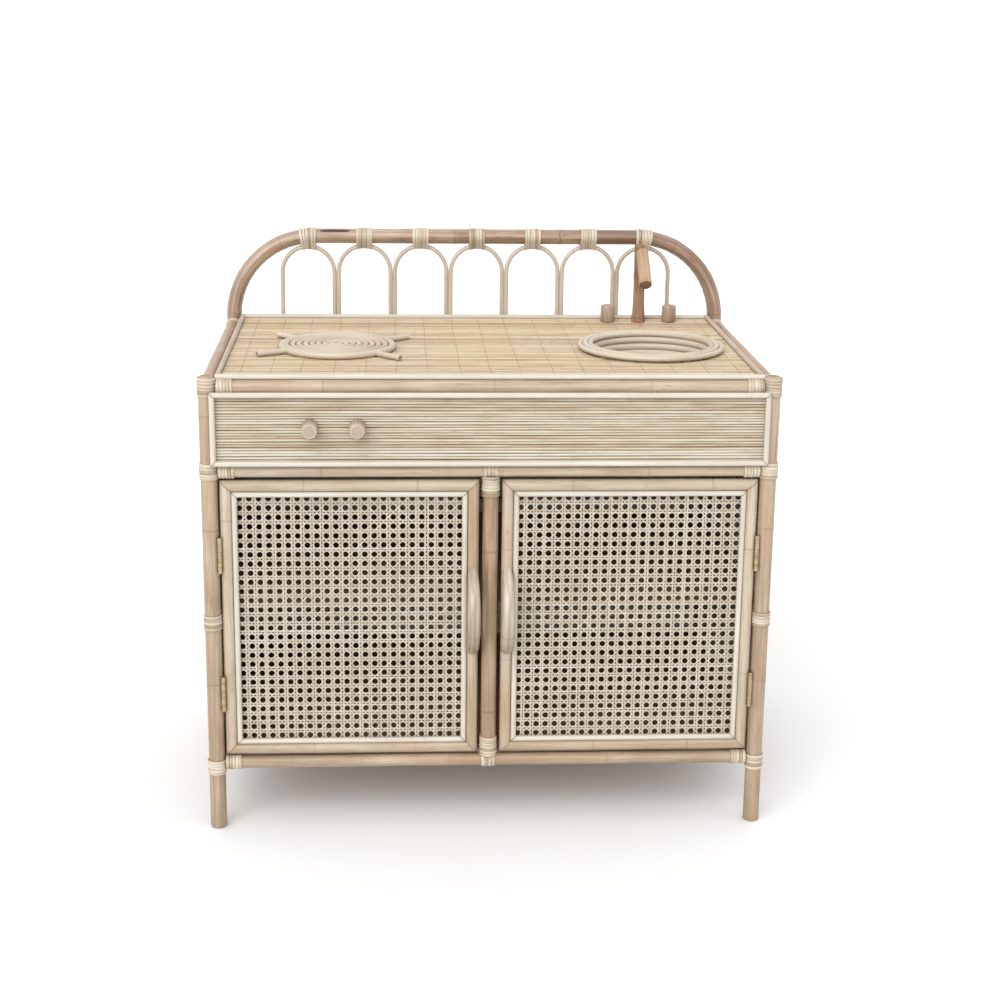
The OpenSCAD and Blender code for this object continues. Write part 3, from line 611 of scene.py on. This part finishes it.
def rails():
    stock = Stock("front_rail_poles")
    # Each level is (rail, bow, tint); the bottom rail's low tint is painted shade of the low parts.
    levels = ("top", 0.5, 0.2), ("middle", -0.7, 0.6), ("bottom", -0.6, -1.7)
    for level, bow, tint in levels:
        start, end, r = rods(f"front_{level}_rail")[0]
        pole(stock, exposed(start, end, r), r, Z, bow=bow * MM, rings=0.45, tint=tint)
    stock.make("pale_pole", PALE, [f"front_{level}_rail" for level, *_ in levels])
    for node in ("left_side_rails", "right_side_rails", "rear_rails"):
        stock = Stock(node.replace("rails", "rail_poles"))
        for start, end, r in rods(node):
            pole(stock, exposed(start, end, r), r, Z)
        stock.make("pale_pole", SIDE, [node])
    stock = Stock("centre_pole")
    start, end, r = rods("centre_post")[0]
    turns = [(low, high) for low, high in solids("front_bindings") if centre_turns(low, high)]
    start[2], end[2] = turns[0][0][2], turns[-1][1][2]
    pole(stock, [start, end], r, X, bow=0.4 * MM, nodes=[0.05, 0.235])
    stock.make("tan_pole", CENTRE, ["centre_post"])
    floor_edge_rods(r + 3 * MM)


def floor_edge_rods(gap):
    """Two thin rods that close the slot between the bottom rail and the floor board. Between them is
    a gap for the centre post."""
    stock = Stock("floor_edge_rods")
    start, end, r = rods("front_bottom_rail")[0]
    z = node_box("floor_board")[0][2] - FLOOR_ROD_R - 0.2 * MM
    rise = z - start[2]
    y = start[1] + math.sqrt((r + FLOOR_ROD_R + 0.3 * MM) ** 2 - rise ** 2)
    for side, outer in ((-1, start[0]), (1, end[0])):
        line = [(side * gap, y, z), (outer, y, z)]
        # Their low tint darkens them to the dark look of the slot: painted shade.
        pole(stock, line, FLOOR_ROD_R, Z, nodes=[], tint=-1.0, sides=14, step=0.04)
    stock.make("tan_pole", TAN, [])


def binding_axis(centre):
    """The direction of the pole that a binding at this place goes round."""
    near = 4 * MM
    on_column = min(abs(abs(centre[0]) - POST_X), abs(centre[0])) < near
    on_row = min(abs(centre[1] - FRONT_Y), abs(centre[1] - REAR_Y)) < near
    return 2 if on_column and on_row else (0 if on_row else 1)


RAIL_TUCK = 2.5 * MM
FLOOR_ROD_R = 3.4 * MM


def centre_turns(low, high):
    """Whether a binding is one of the two round the centre post."""
    return abs(low[0] + high[0]) < 2 * MM and high[2] - low[2] > 15 * MM


def bindings():
    """Cane turns in the place of each CAD sleeve. Those round the centre post reach over the rails, and
    the front posts' top ones reach almost to their ends."""
    for node in ("front_bindings", "side_bindings", "rear_bindings"):
        stock = Stock(node.replace("bindings", "cane_turns"))
        for low, high in solids(node):
            if centre_turns(low, high):
                low[2] -= RAIL_TUCK if low[2] < POST_HIGH[2] / 2 else 0
                high[2] += RAIL_TUCK if low[2] > POST_HIGH[2] / 2 else 0
            elif abs(low[0] + high[0]) < 2 * MM:
                continue
            along = binding_axis((low + high) / 2)
            top_turn = POST_HIGH[2] - high[2] < 9 * MM
            if along == 2 and node == "front_bindings" and top_turn:
                high[2] = POST_HIGH[2] - 1.5 * MM
            size, centre = high - low, (low + high) / 2
            outer = np.delete(size, along).max() / 2
            if along != 2:
                centre[2] = low[2] + outer
            wind(stock, centre, np.eye(3)[along], outer - 1.2 * MM, size[along])
        if node == "front_bindings":
            for rail in ("front_middle_rail", "front_bottom_rail"):
                start, end, r = rods(rail)[0]
                wind(stock, (start + end) / 2, X, r, 15 * MM, strip=3.8 * MM)
        stock.make("cane_binding", BINDING, [node])


# ---- Splashback ----

ARCH_LOW, ARCH_HIGH = node_box("splashback_arches")
ARCHES = 7
ARCH_R = 2.5 * MM
ARCH_HALF = 31.9 * MM
ARCH_PITCH = (ARCH_HIGH[0] - ARCH_LOW[0] - 2 * ARCH_HALF - 2 * ARCH_R) / (ARCHES - 1)
ARCH_TOP = ARCH_HIGH[2] - ARCH_R
END_DROP = 1.2 * MM


def arch_places():
    """The middle of each arch, and the height of its top's axis. The outer two hang lower."""
    last = ARCHES - 1
    for k in range(ARCHES):
        yield (k - last / 2) * ARCH_PITCH, ARCH_TOP - (END_DROP if k in (0, last) else 0)


def arches():
    stock = Stock("arch_rods")
    turn = np.radians(np.arange(180, -1, -7.5))
    for x, top in arch_places():
        spring = top - ARCH_HALF
        line = [(x - ARCH_HALF, REAR_Y, ARCH_LOW[2])]
        for a in turn:
            line.append((x + ARCH_HALF * math.cos(a), REAR_Y, spring + ARCH_HALF * math.sin(a)))
        line.append((x + ARCH_HALF, REAR_Y, ARCH_LOW[2]))
        pole(stock, line, 1.05 * ARCH_R, -Y, nodes=[], tint=stock.rng.normal(0, 0.4), sides=12,
             step=0.004)
    stock.make("core_rattan", ARCH, ["splashback_arches"])


def egg(down, depth):
    """A loop round the hoop and round the arch that hangs a depth under it."""
    big, small = POST_R + 0.35 * THICK, ARCH_R + 0.35 * THICK
    open_angle = math.acos((big - small) / depth)
    around_big = np.linspace(open_angle, 2 * math.pi - open_angle, 30)[:, None]
    around_small = np.linspace(-open_angle, open_angle, 12)[:, None]
    upper = big * (np.cos(around_big) * down + np.sin(around_big) * Y)
    lower = depth * down + small * (np.cos(around_small) * down + np.sin(around_small) * Y)
    return np.concatenate((upper, lower))


def arch_bindings():
    stock = Stock("arch_cane_turns")
    rng = stock.rng
    turns = 6
    for x, top in arch_places():
        lean = rng.uniform(-0.5, 0.5) * MM
        for k in range(turns):
            offset = (k - (turns - 1) / 2) * STRIP + rng.normal(0, 0.12 * MM)
            centre, direction = hoop_axis(x + offset)
            down = np.cross(direction, Y)
            down = down if down[2] < 0 else -down
            depth = centre[2] - (top - ARCH_HALF + math.sqrt(ARCH_HALF ** 2 - offset ** 2))
            loop = egg(down, depth)
            slope = (loop @ down)[:, None] / POST_R
            tube(stock, centre + loop + direction * lean * slope, (0.49 * STRIP, THICK / 2),
                 direction, strip_section(), closed=True, tint=turn_tint(rng))
    stock.make("cane_binding", BINDING, ["arch_bindings"])


# ---- Counter and control panel ----

SINK_LOW, SINK_HIGH = node_box("sink_rim")
SINK = (SINK_LOW + SINK_HIGH) / 2
SINK_R = (SINK_HIGH[0] - SINK_LOW[0]) / 2


def strips(rng, low, high, narrow, wide):
    """Edges that divide a width into strips of uneven widths."""
    widths = rng.uniform(narrow, wide, round((high - low) / ((narrow + wide) / 2)))
    return low + np.concatenate(([0], np.cumsum(widths))) * (high - low) / widths.sum()


def counter_slats():
    slats, threads = Stock("counter_slats"), Stock("counter_threads")
    rng = slats.rng
    edges = strips(rng, MAT_LOW[1], MAT_HIGH[1], 3.2 * MM, 6.6 * MM)
    hole = SINK_R - 6 * MM
    wide_tone = drift(rng, edges, 0.11)
    for k, (low, high) in enumerate(zip(edges, edges[1:])):
        y = (low + high) / 2
        reach = math.sqrt(max(0, hole ** 2 - (y - SINK[1]) ** 2))
        runs = [(MAT_LOW[0], MAT_HIGH[0])]
        if reach:
            runs = [(MAT_LOW[0], SINK[0] - reach), (SINK[0] + reach, MAT_HIGH[0])]
        tone = rng.normal(0, 0.95) + 0.6 * wide_tone[k]
        crown = (1.35 + 0.1 * (high - low) / MM) * MM
        for x0, x1 in runs:
            x = np.linspace(x0, x1, max(2, round((x1 - x0) / (24 * MM))))
            path = np.stack((x, y + 0.15 * MM * drift(rng, x, 0.3), np.full(len(x), MAT_LOW[2])), 1)
            path[:, 2] += 0.12 * MM * drift(rng, x, 0.17)
            tube(slats, path, ((high - low) * 0.5, crown), Y, half_section(),
                 tint=tone + 0.35 * drift(rng, x, 0.22))
    middles = (edges[1:] + edges[:-1]) / 2
    y = np.sort(np.concatenate((edges[1:-1], middles)))
    z = np.where(np.isin(y, middles), 2.0, 1.2) * MM + MAT_LOW[2]
    spacing = 33.5 * MM
    for k in range(-8, 9):
        x = k * spacing + rng.normal(0, 0.8 * MM) + 0.6 * MM * drift(rng, y, 0.4)
        outside = np.hypot(x - SINK[0], y - SINK[1]) > hole
        halves = outside & (y < SINK[1]), outside & (y > SINK[1])
        for keep in (outside,) if outside.all() else halves:
            path = np.stack((x, y, z), 1)[keep]
            if len(path) > 3:
                tube(threads, path, (0.2 * MM, 0.2 * MM), X, round_section(6), tint=rng.normal(0, 0.5))
    slats.make("straw_slats", SLAT, ["counter_mat"])
    threads.make("straw_slats", THREAD, [], THREAD)


def trim_rods(name, node, mitre=False, body="cabinet", look=WHITE, chosen=None, tint=0.0, thin=1.0,
              places=rods):
    """Thin rods in the place of a CAD node's, or of those along the chosen direction. Mitred ones are
    slanted towards the frame's middle."""
    stock = Stock(name)
    low, high = node_box(node)
    middle = (low + high) / 2
    for start, end, r in places(node):
        along = unit(end - start)
        if chosen is not None and abs(along @ chosen) < 0.5:
            continue
        side = Z if abs(along[2]) < 0.9 else X
        if mitre:
            side = side * np.sign((middle - start) @ side)
            start, end = start + along * r, end - along * r
        bow = 0 if mitre else stock.rng.uniform(-0.25, 0.25) * MM
        pole(stock, [start, end], r * thin, side, mitre=mitre, nodes=[], sides=14, step=0.04, bow=bow,
             tint=stock.rng.normal(tint, 0.4))
    nodes = [node] if chosen is None or chosen[0] else []
    return stock.make("white_trim", look, nodes, body=body)


def control_panel():
    sticks, threads = Stock("panel_sticks"), Stock("panel_threads")
    rng = sticks.rng
    low, high = node_box("fascia_mat")
    edges = strips(rng, low[2], high[2], 2.6 * MM, 3.7 * MM)
    depth = high[1] - low[1]
    for z0, z1 in zip(edges, edges[1:]):
        x = np.linspace(low[0], high[0], 26)
        path = np.stack((x, np.full(26, high[1]), (z0 + z1) / 2 + 0.3 * MM * drift(rng, x, 0.5)), 1)
        half = (z1 - z0) / 2 * (1 + 0.05 * drift(rng, x, 0.2))
        half = np.stack((half, np.full(26, depth * rng.uniform(0.86, 1.0))), 1)
        tint = rng.normal(0, 0.8) + 0.3 * drift(rng, x, 0.25)
        tube(sticks, path, half, Z, half_section(9), tint=tint)
    middles = (edges[1:] + edges[:-1]) / 2
    z = np.sort(np.concatenate((edges[1:-1], middles)))
    y = np.where(np.isin(z, middles), low[1] - 0.02 * MM, low[1] + 1.2 * MM)
    for k in range(-4, 5):
        x = k * 66 * MM + 18 * MM + rng.normal(0, 2 * MM) + 0 * z
        tube(threads, np.stack((x, y, z), 1), (0.14 * MM, 0.14 * MM), X, round_section(6))
    sticks.make("core_sticks", STICK, ["fascia_mat"])
    threads.make("core_sticks", ROUND_STICK, [])


PANEL_TUCK = 1.8 * MM


def stick_panels():
    """The side and rear panels: rows of round sticks, tucked into the rods round them."""
    for node in ("left_side_panels", "right_side_panels", "rear_panels"):
        stock = Stock(node.replace("panels", "stick_rows"))
        rng = stock.rng
        for low, high in solids(node):
            along = 0 if high[0] - low[0] > high[1] - low[1] else 1
            thick = (high - low)[1 - along]
            low[[along, 2]] -= PANEL_TUCK
            high[[along, 2]] += PANEL_TUCK
            start, end = (low + high) / 2, (low + high) / 2
            start[along], end[along] = low[along], high[along]
            edges = strips(rng, low[2], high[2], 0.8 * thick, 1.15 * thick)
            for z0, z1 in zip(edges, edges[1:]):
                share = np.linspace(0, 1, 12)[:, None]
                path = start + (end - start) * share
                path[:, 2] = (z0 + z1) / 2 + 0.2 * MM * drift(rng, share[:, 0], 0.9)
                tube(stock, path, ((z1 - z0) * 0.54, thick * 0.49), Z, round_section(10),
                     tint=rng.normal(0, 0.8) + 0.3 * drift(rng, share[:, 0], 0.4))
        stock.make("core_sticks", ROUND_STICK, [node])


# ---- Hob, sink and tap ----

def ring_rod(stock, centre, radius, z, r, tint=0.0):
    """A rod bent into a ring, with a slight wave."""
    turn = 2 * math.pi * (np.arange(96) / 96)
    wave = np.sin(turn + stock.rng.uniform(0, 6))
    path = np.stack((centre[0] + radius * np.cos(turn), centre[1] + radius * np.sin(turn),
                     z + 0.25 * MM * wave), 1)
    tube(stock, path, (r, r), Z, round_section(16), closed=True, tint=tint + 0.5 * wave)


def spiral(stock, centre, outer, inner, pitch, z, r, tint=0.0):
    """A rod coiled flat, from outside in."""
    turns = (outer - inner) / pitch
    turn = np.linspace(0, 2 * math.pi * turns, round(48 * turns))
    radius = outer - pitch * turn / (2 * math.pi)
    path = np.stack((centre[0] + radius * np.cos(turn), centre[1] + radius * np.sin(turn),
                     z + 0.12 * MM * drift(stock.rng, turn, 2.6)), 1)
    tube(stock, path, (r, r), Z, round_section(12), tint=tint + 0.5 * drift(stock.rng, turn, 7.0))


def hob():
    stock = Stock("hob_plate")
    low, high = node_box("hob_coil")
    centre, outer = (low + high) / 2, (high[0] - low[0]) / 2
    rim_r, rod_r, pitch = 3.75 * MM, 3.6 * MM, 7.3 * MM
    ring_rod(stock, centre, outer - rim_r, low[2] + rim_r, rim_r, 0.8)
    stock.make("core_rattan", CORE, ["hob_coil"])
    stock = Stock("hob_spiral")
    start, z = outer - rim_r - 0.6 * MM, low[2] + rod_r + 0.2 * MM
    spiral(stock, centre, start, 2.2 * MM, pitch, z, rod_r, -0.2)
    stock.make("core_rattan", COIL, [])
    stock = Stock("hob_stick_rods")
    for low, high in solids("hob_sticks"):
        middle, r = (low + high) / 2, (high[2] - low[2]) / 2
        away = unit((middle - centre) * (1, 1, 0))
        base = np.array([centre[0], centre[1], low[2] + r])
        start = base + away * (outer - rim_r)
        end = base + away * (2 * np.linalg.norm((middle - centre)[:2]) - outer)
        pole(stock, [start, end], r, Z, nodes=[], tips=(0, 0.5 * MM), sides=14, step=0.01,
             tint=stock.rng.normal(0, 0.4), taper=(1.0, 0.96))
    stock.make("core_rattan", CORE, ["hob_sticks"])


def sink():
    stock = Stock("sink_rim_rings")
    rim_r = (SINK_HIGH[2] - SINK_LOW[2]) / 2
    r = 0.66 * rim_r
    for k, z in enumerate((SINK_LOW[2] + 1.5 * r, SINK_HIGH[2] - r, SINK_HIGH[2] - 1.2 * r)):
        ring_rod(stock, SINK, SINK_R - (1.94 * k + 1) * r, z, r, (0.6, 0.2, -0.3)[k])
    stock.make("core_rattan", CORE, ["sink_rim"])
    stock = Stock("sink_bowl_coils")
    rod_r, rows = 3.9 * MM, 9
    top_radius, base_radius = SINK_R - 13.6 * MM, SINK_R - 24.6 * MM
    top_z, base_z = MAT_Z - 1.7 * MM, node_box("sink_bowl")[0][2] + rod_r
    for k in range(rows):
        share = k / (rows - 1)
        radius = top_radius + (base_radius - top_radius) * share
        z = top_z + (base_z - top_z) * share
        ring_rod(stock, SINK, radius, z, rod_r, stock.rng.normal(0.7, 0.5))
    edge = base_radius - 2 * rod_r + 0.4 * MM
    ring_rod(stock, SINK, edge, base_z, rod_r - 0.2 * MM)
    spiral(stock, SINK, edge, 2.5 * MM, 7.2 * MM, base_z, rod_r - 0.2 * MM)
    stock.make("core_rattan", CORE, ["sink_bowl"])


def tap():
    stock = Stock("tap_pipe")
    start, end, r = rods("tap_riser")[0]
    height = end[2] - start[2]
    pole(stock, [start, end], r, X, nodes=[0.055 * height, 0.6 * height], tips=(0, 2.5 * MM), tint=-0.4,
         taper=(1.16, 1.0, 0.98, 0.97, 0.97), swell=0.07, step=0.008)
    low, high = node_box("tap_spout")
    tilt = math.radians(39)
    spout_r = (high[0] - low[0]) / 2
    away = np.array([0, -math.cos(tilt), -math.sin(tilt)])
    from_point = np.array([(low[0] + high[0]) / 2, start[1], end[2] - spout_r])
    length = 56 * MM
    stock.make("tan_pole", TAP, ["tap_riser"], CUT_TAP)
    stock = Stock("tap_nozzle")
    pole(stock, [from_point, from_point + away * length], spout_r, X, nodes=[length - 3 * MM],
         rings=0.5, tips=(3 * MM, 0.8 * MM), step=0.008, taper=(1.0, 0.97), swell=0.05)
    stock.make("tan_pole", SPOUT, ["tap_spout"], CUT_TAP)


# ---- Knobs ----

# A knob's thickness from its seat to its bevelled free end, as (share of its length, share of its r)
STUB = np.array([(0, 0.94), (0.04, 1), (0.5, 1.0), (0.88, 0.985), (0.95, 0.95), (0.985, 0.87),
                 (1.0, 0.78)])


def stub(kind, side, toward, look):
    """A knob: a short piece of pole that points toward, with a pale skin round its end's core."""
    stock = Stock(f"{side}_{kind}_knob_stub")
    low, high = node_box(f"{kind}_knob_{side}")
    middle, r = (low + high) / 2, (high[0] - low[0]) / 2 * STUB[:, 1]
    reach = (high - low) @ abs(toward)
    path = middle + toward * (STUB[:, :1] - 0.5) * reach
    tube(stock, path, np.stack((r, r), 1), X, round_section(32), tint=stock.rng.normal(0, 0.3))
    stock.make("core_rattan", look, [f"{kind}_knob_{side}"], CUT_KNOB, body=f"{side}_{kind}_knob")


def knobs():
    for side in SIDES:
        stub("hob", side, -Y, KNOB)
        stub("tap", side, Z, TAP_KNOB)


# ---- Doors ----

PITCH = 10.3 * MM


def strand(stock, path, width, tint):
    section = np.array([(1, 0), (0, 1), (-1, 0), (0, -1)], float)
    tube(stock, path, (width / 2, 0.26 * MM), np.cross(path[-1] - path[0], Y), section, tint=tint)


def cane(side):
    """Six-way woven cane: pairs of upright and level strands, and two sets of diagonals."""
    stock = Stock(f"{side}_woven_cane")
    rng = stock.rng
    low, high = node_box(f"{side}_door_cane")
    bead_low, bead_high = node_box(f"{side}_door_bead")
    inset = 3 * MM
    low = np.array([bead_low[0] + inset, low[1], bead_low[2] + inset])
    high = np.array([bead_high[0] - inset, high[1], bead_high[2] - inset])
    y = (low[1] + high[1]) / 2
    width, height = high[0] - low[0], high[2] - low[2]
    columns, rows = round(width / PITCH), round(height / PITCH)
    px, pz = width / columns, height / rows
    half_pair, lift, cross_lift = 1.32 * MM, 0.2 * MM, 0.34 * MM
    upright_width, cross_width = 1.66 * MM, 1.34 * MM

    def jitter():
        return rng.normal(0, 0.09 * MM)

    def pairs(count, step, start, other_count, other_step, other_start, place):
        """Two strands at each step, which pass over and under the pairs that cross them."""
        at = np.arange(other_count)[:, None] * other_step + other_start
        along = (at + np.array([-half_pair, half_pair, other_step / 2])).ravel()
        for i in range(count + 1):
            for which in (0, 1):
                across = start + i * step + (2 * which - 1) * half_pair + jitter()
                sign = 1 if which else -1
                heights = np.tile([sign * lift, -sign * lift, 0], other_count)
                last = other_start + (other_count - 1) * other_step
                inside = (along > other_start - 0.4 * MM) & (along < last)
                wander = jitter() + 0.12 * MM * drift(rng, along, 0.15)
                yield place(across + wander, along, heights)[inside]

    uprights = pairs(columns, px, low[0], rows + 1, pz, low[2],
                     lambda across, along, h: np.stack((across, y + h, along), 1))
    levels = pairs(rows, pz, low[2], columns + 1, px, low[0],
                   lambda across, along, h: np.stack((along, y - h, across), 1))
    for strands in (uprights, levels):
        for path in strands:
            strand(stock, path, upright_width + jitter(), rng.normal(0, 0.7))
    for slope in (1, -1):
        for k in range(-rows, columns + rows):
            half_steps = np.arange(-1, 2 * rows + 2)
            cell_x, cell_z = k + half_steps / 2, (half_steps + 1) / 2
            if slope < 0:
                cell_z = rows - cell_z
            inside = (cell_x >= 0) & (cell_x <= columns) & (cell_z >= 0) & (cell_z <= rows)
            if inside.sum() < 2:
                continue
            over = np.where(np.abs(cell_x - np.round(cell_x)) < 0.25, slope, -slope)
            x, z = low[0] + cell_x * px + jitter(), low[2] + cell_z * pz
            path = np.stack((x, y - over * cross_lift, z), 1)
            strand(stock, path[inside], cross_width, rng.normal(0, 0.7))
    stock.make("cane_weave", WEAVE, [f"{side}_door_cane"], crease=75, body=f"{side}_door")


def door_frame(side):
    stock = Stock(f"{side}_door_frame_poles")
    nodes = [f"{side}_door_rails", f"{side}_door_hinge_stile", f"{side}_door_latch_stile"]
    low, high = node_box(nodes[0])
    middle = (low + high) / 2
    for node in nodes:
        for start, end, r in rods(node):
            along = unit(end - start)
            inward = Z if abs(along[2]) < 0.9 else X
            inward = inward * np.sign((middle - start) @ inward)
            length = np.linalg.norm(end - start)
            places = [length * stock.rng.uniform(0.25, 0.4), length * stock.rng.uniform(0.7, 0.85)]
            # The latch stile and the bottom rail are made darker.
            darker_rod = "latch" in node or max(start[2], end[2]) < middle[2]
            pole(stock, [start + along * r, end - along * r], r, inward, mitre=True, nodes=places,
                 swell=0.015, rings=0.4, tint=-1.1 if darker_rod else 0.0)
    stock.make("door_pole", DOOR, nodes, body=f"{side}_door")
    trim_rods(f"{side}_bead_rods", f"{side}_door_bead", mitre=True, body=f"{side}_door")


def handle(side):
    """A stick bent to an arc, thinner at its top, with both ends in the latch stile."""
    stock = Stock(f"{side}_bent_handle")
    low, high = node_box(f"{side}_door_handle")
    middle, r = (low + high) / 2, (high[0] - low[0]) / 2
    radius, sweep = 46.0 * MM, math.radians(80)
    centre_y = low[1] + r + radius
    angles = np.linspace(-sweep, sweep, 33)
    line = np.stack((middle[0] + 0 * angles, centre_y - radius * np.cos(angles),
                     middle[2] + radius * np.sin(angles)), 1)
    # tint runs from dark at the bottom end to pale at the top end: painted shade below and a painted
    # highlight on top.
    pole(stock, line, r, X, nodes=[0.045], taper=(0.86, 0.93, 1.0, 1.0, 0.96, 0.82, 0.62),
         step=0.004, swell=0.02, tint=(-1.2, 1.5))
    stock.make("core_rattan", GRIP, [f"{side}_door_handle"], body=f"{side}_door")


# ---- CAD nodes that keep their shape ----

def dress_nodes():
    plastic = moulded("catch_plastic", (66, 46, 34), (94, 68, 50))
    brass = ["hinge_post_leaves", "hinge_pins", "hinge_post_screws", "left_hinge_leaves",
             "right_hinge_leaves"]
    steel = ["knob_spindles", "catch_magnets", "left_door_strike", "right_door_strike"]
    boards = ["counter_board", "fascia_board", "shelf_board", "floor_board"]
    looks = ((plywood(), boards), (BRASS, brass), (STEEL, steel), (plastic, ["door_catch"]))
    for material, nodes in looks:
        for node in nodes:
            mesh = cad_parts[node].data
            mesh.materials.clear()
            mesh.materials.append(material)


# ---- Stage ----

def pale_floor():
    g = Graph("pale_floor")
    place = g.object_place()
    cloud = g.noise(place, (3, 3, 3), 2)
    colour = g.mix(cloud, srgb(230, 230, 230), srgb(234, 234, 234))
    g.finish(colour, g.around(cloud, 0.1, 0.8), cloud, 0.1 * MM, 0.1)
    mesh = bpy.data.meshes.new("floor")
    reach = 150.0
    corners = [(-reach, -reach, 0), (reach, -reach, 0), (reach, reach, 0), (-reach, reach, 0)]
    mesh.from_pydata(corners, [], [(0, 1, 2, 3)])
    mesh.materials.append(g.material)
    floor = bpy.data.objects.new("floor", mesh)
    bpy.context.scene.collection.objects.link(floor)


def lights():
    """An even white sky, and a broad soft sun from the upper left front."""
    sky_strength, sun_strength, sun_spread = 1.15, 2.1, math.radians(50)
    world = bpy.data.worlds.new("studio")
    world.use_nodes = True
    sky = world.node_tree.nodes["Background"]
    sky.inputs[0].default_value = ALL
    sky.inputs[1].default_value = sky_strength
    bpy.context.scene.world = world
    light = bpy.data.lights.new("key", "SUN")
    light.energy, light.angle = sun_strength, sun_spread
    holder = bpy.data.objects.new("key", light)
    holder.rotation_euler = Vector((0.32, 0.80, -0.51)).to_track_quat("-Z", "Y").to_euler()
    bpy.context.scene.collection.objects.link(holder)
    bpy.context.scene.view_settings.view_transform = "Standard"


def camera():
    """The photo's view, solved from the straight edges in it."""
    data = bpy.data.cameras.new("camera")
    data.sensor_width, data.lens = 36.0, 67.75
    eye = bpy.data.objects.new("camera", data)
    yaw, pitch, roll = math.radians(-3.48), math.radians(90 - 15.41), math.radians(0.74)
    place = Matrix.Translation((-0.1084, -2.12, 0.9147))
    turn = Matrix.Rotation(yaw, 4, "Z") @ Matrix.Rotation(pitch, 4, "X")
    eye.matrix_world = place @ turn @ Matrix.Rotation(roll, 4, "Z")
    bpy.context.scene.collection.objects.link(eye)
    bpy.context.scene.camera = eye


front_posts()
hoop()
rails()
bindings()
arches()
arch_bindings()
counter_slats()
trim_rods("counter_trim_rods", "counter_trims", chosen=X)
trim_rods("counter_side_rods", "counter_trims", look=PALE, chosen=Y, tint=0.8)
control_panel()
trim_rods("panel_frame_rods", "fascia_trims", mitre=True, thin=0.88)
stick_panels()
trim_rods("side_and_rear_trim_rods", "panel_trims", places=frame_rods)
hob()
sink()
tap()
knobs()
for door in SIDES:
    cane(door)
    door_frame(door)
    handle(door)
dress_nodes()
pale_floor()
lights()
camera()
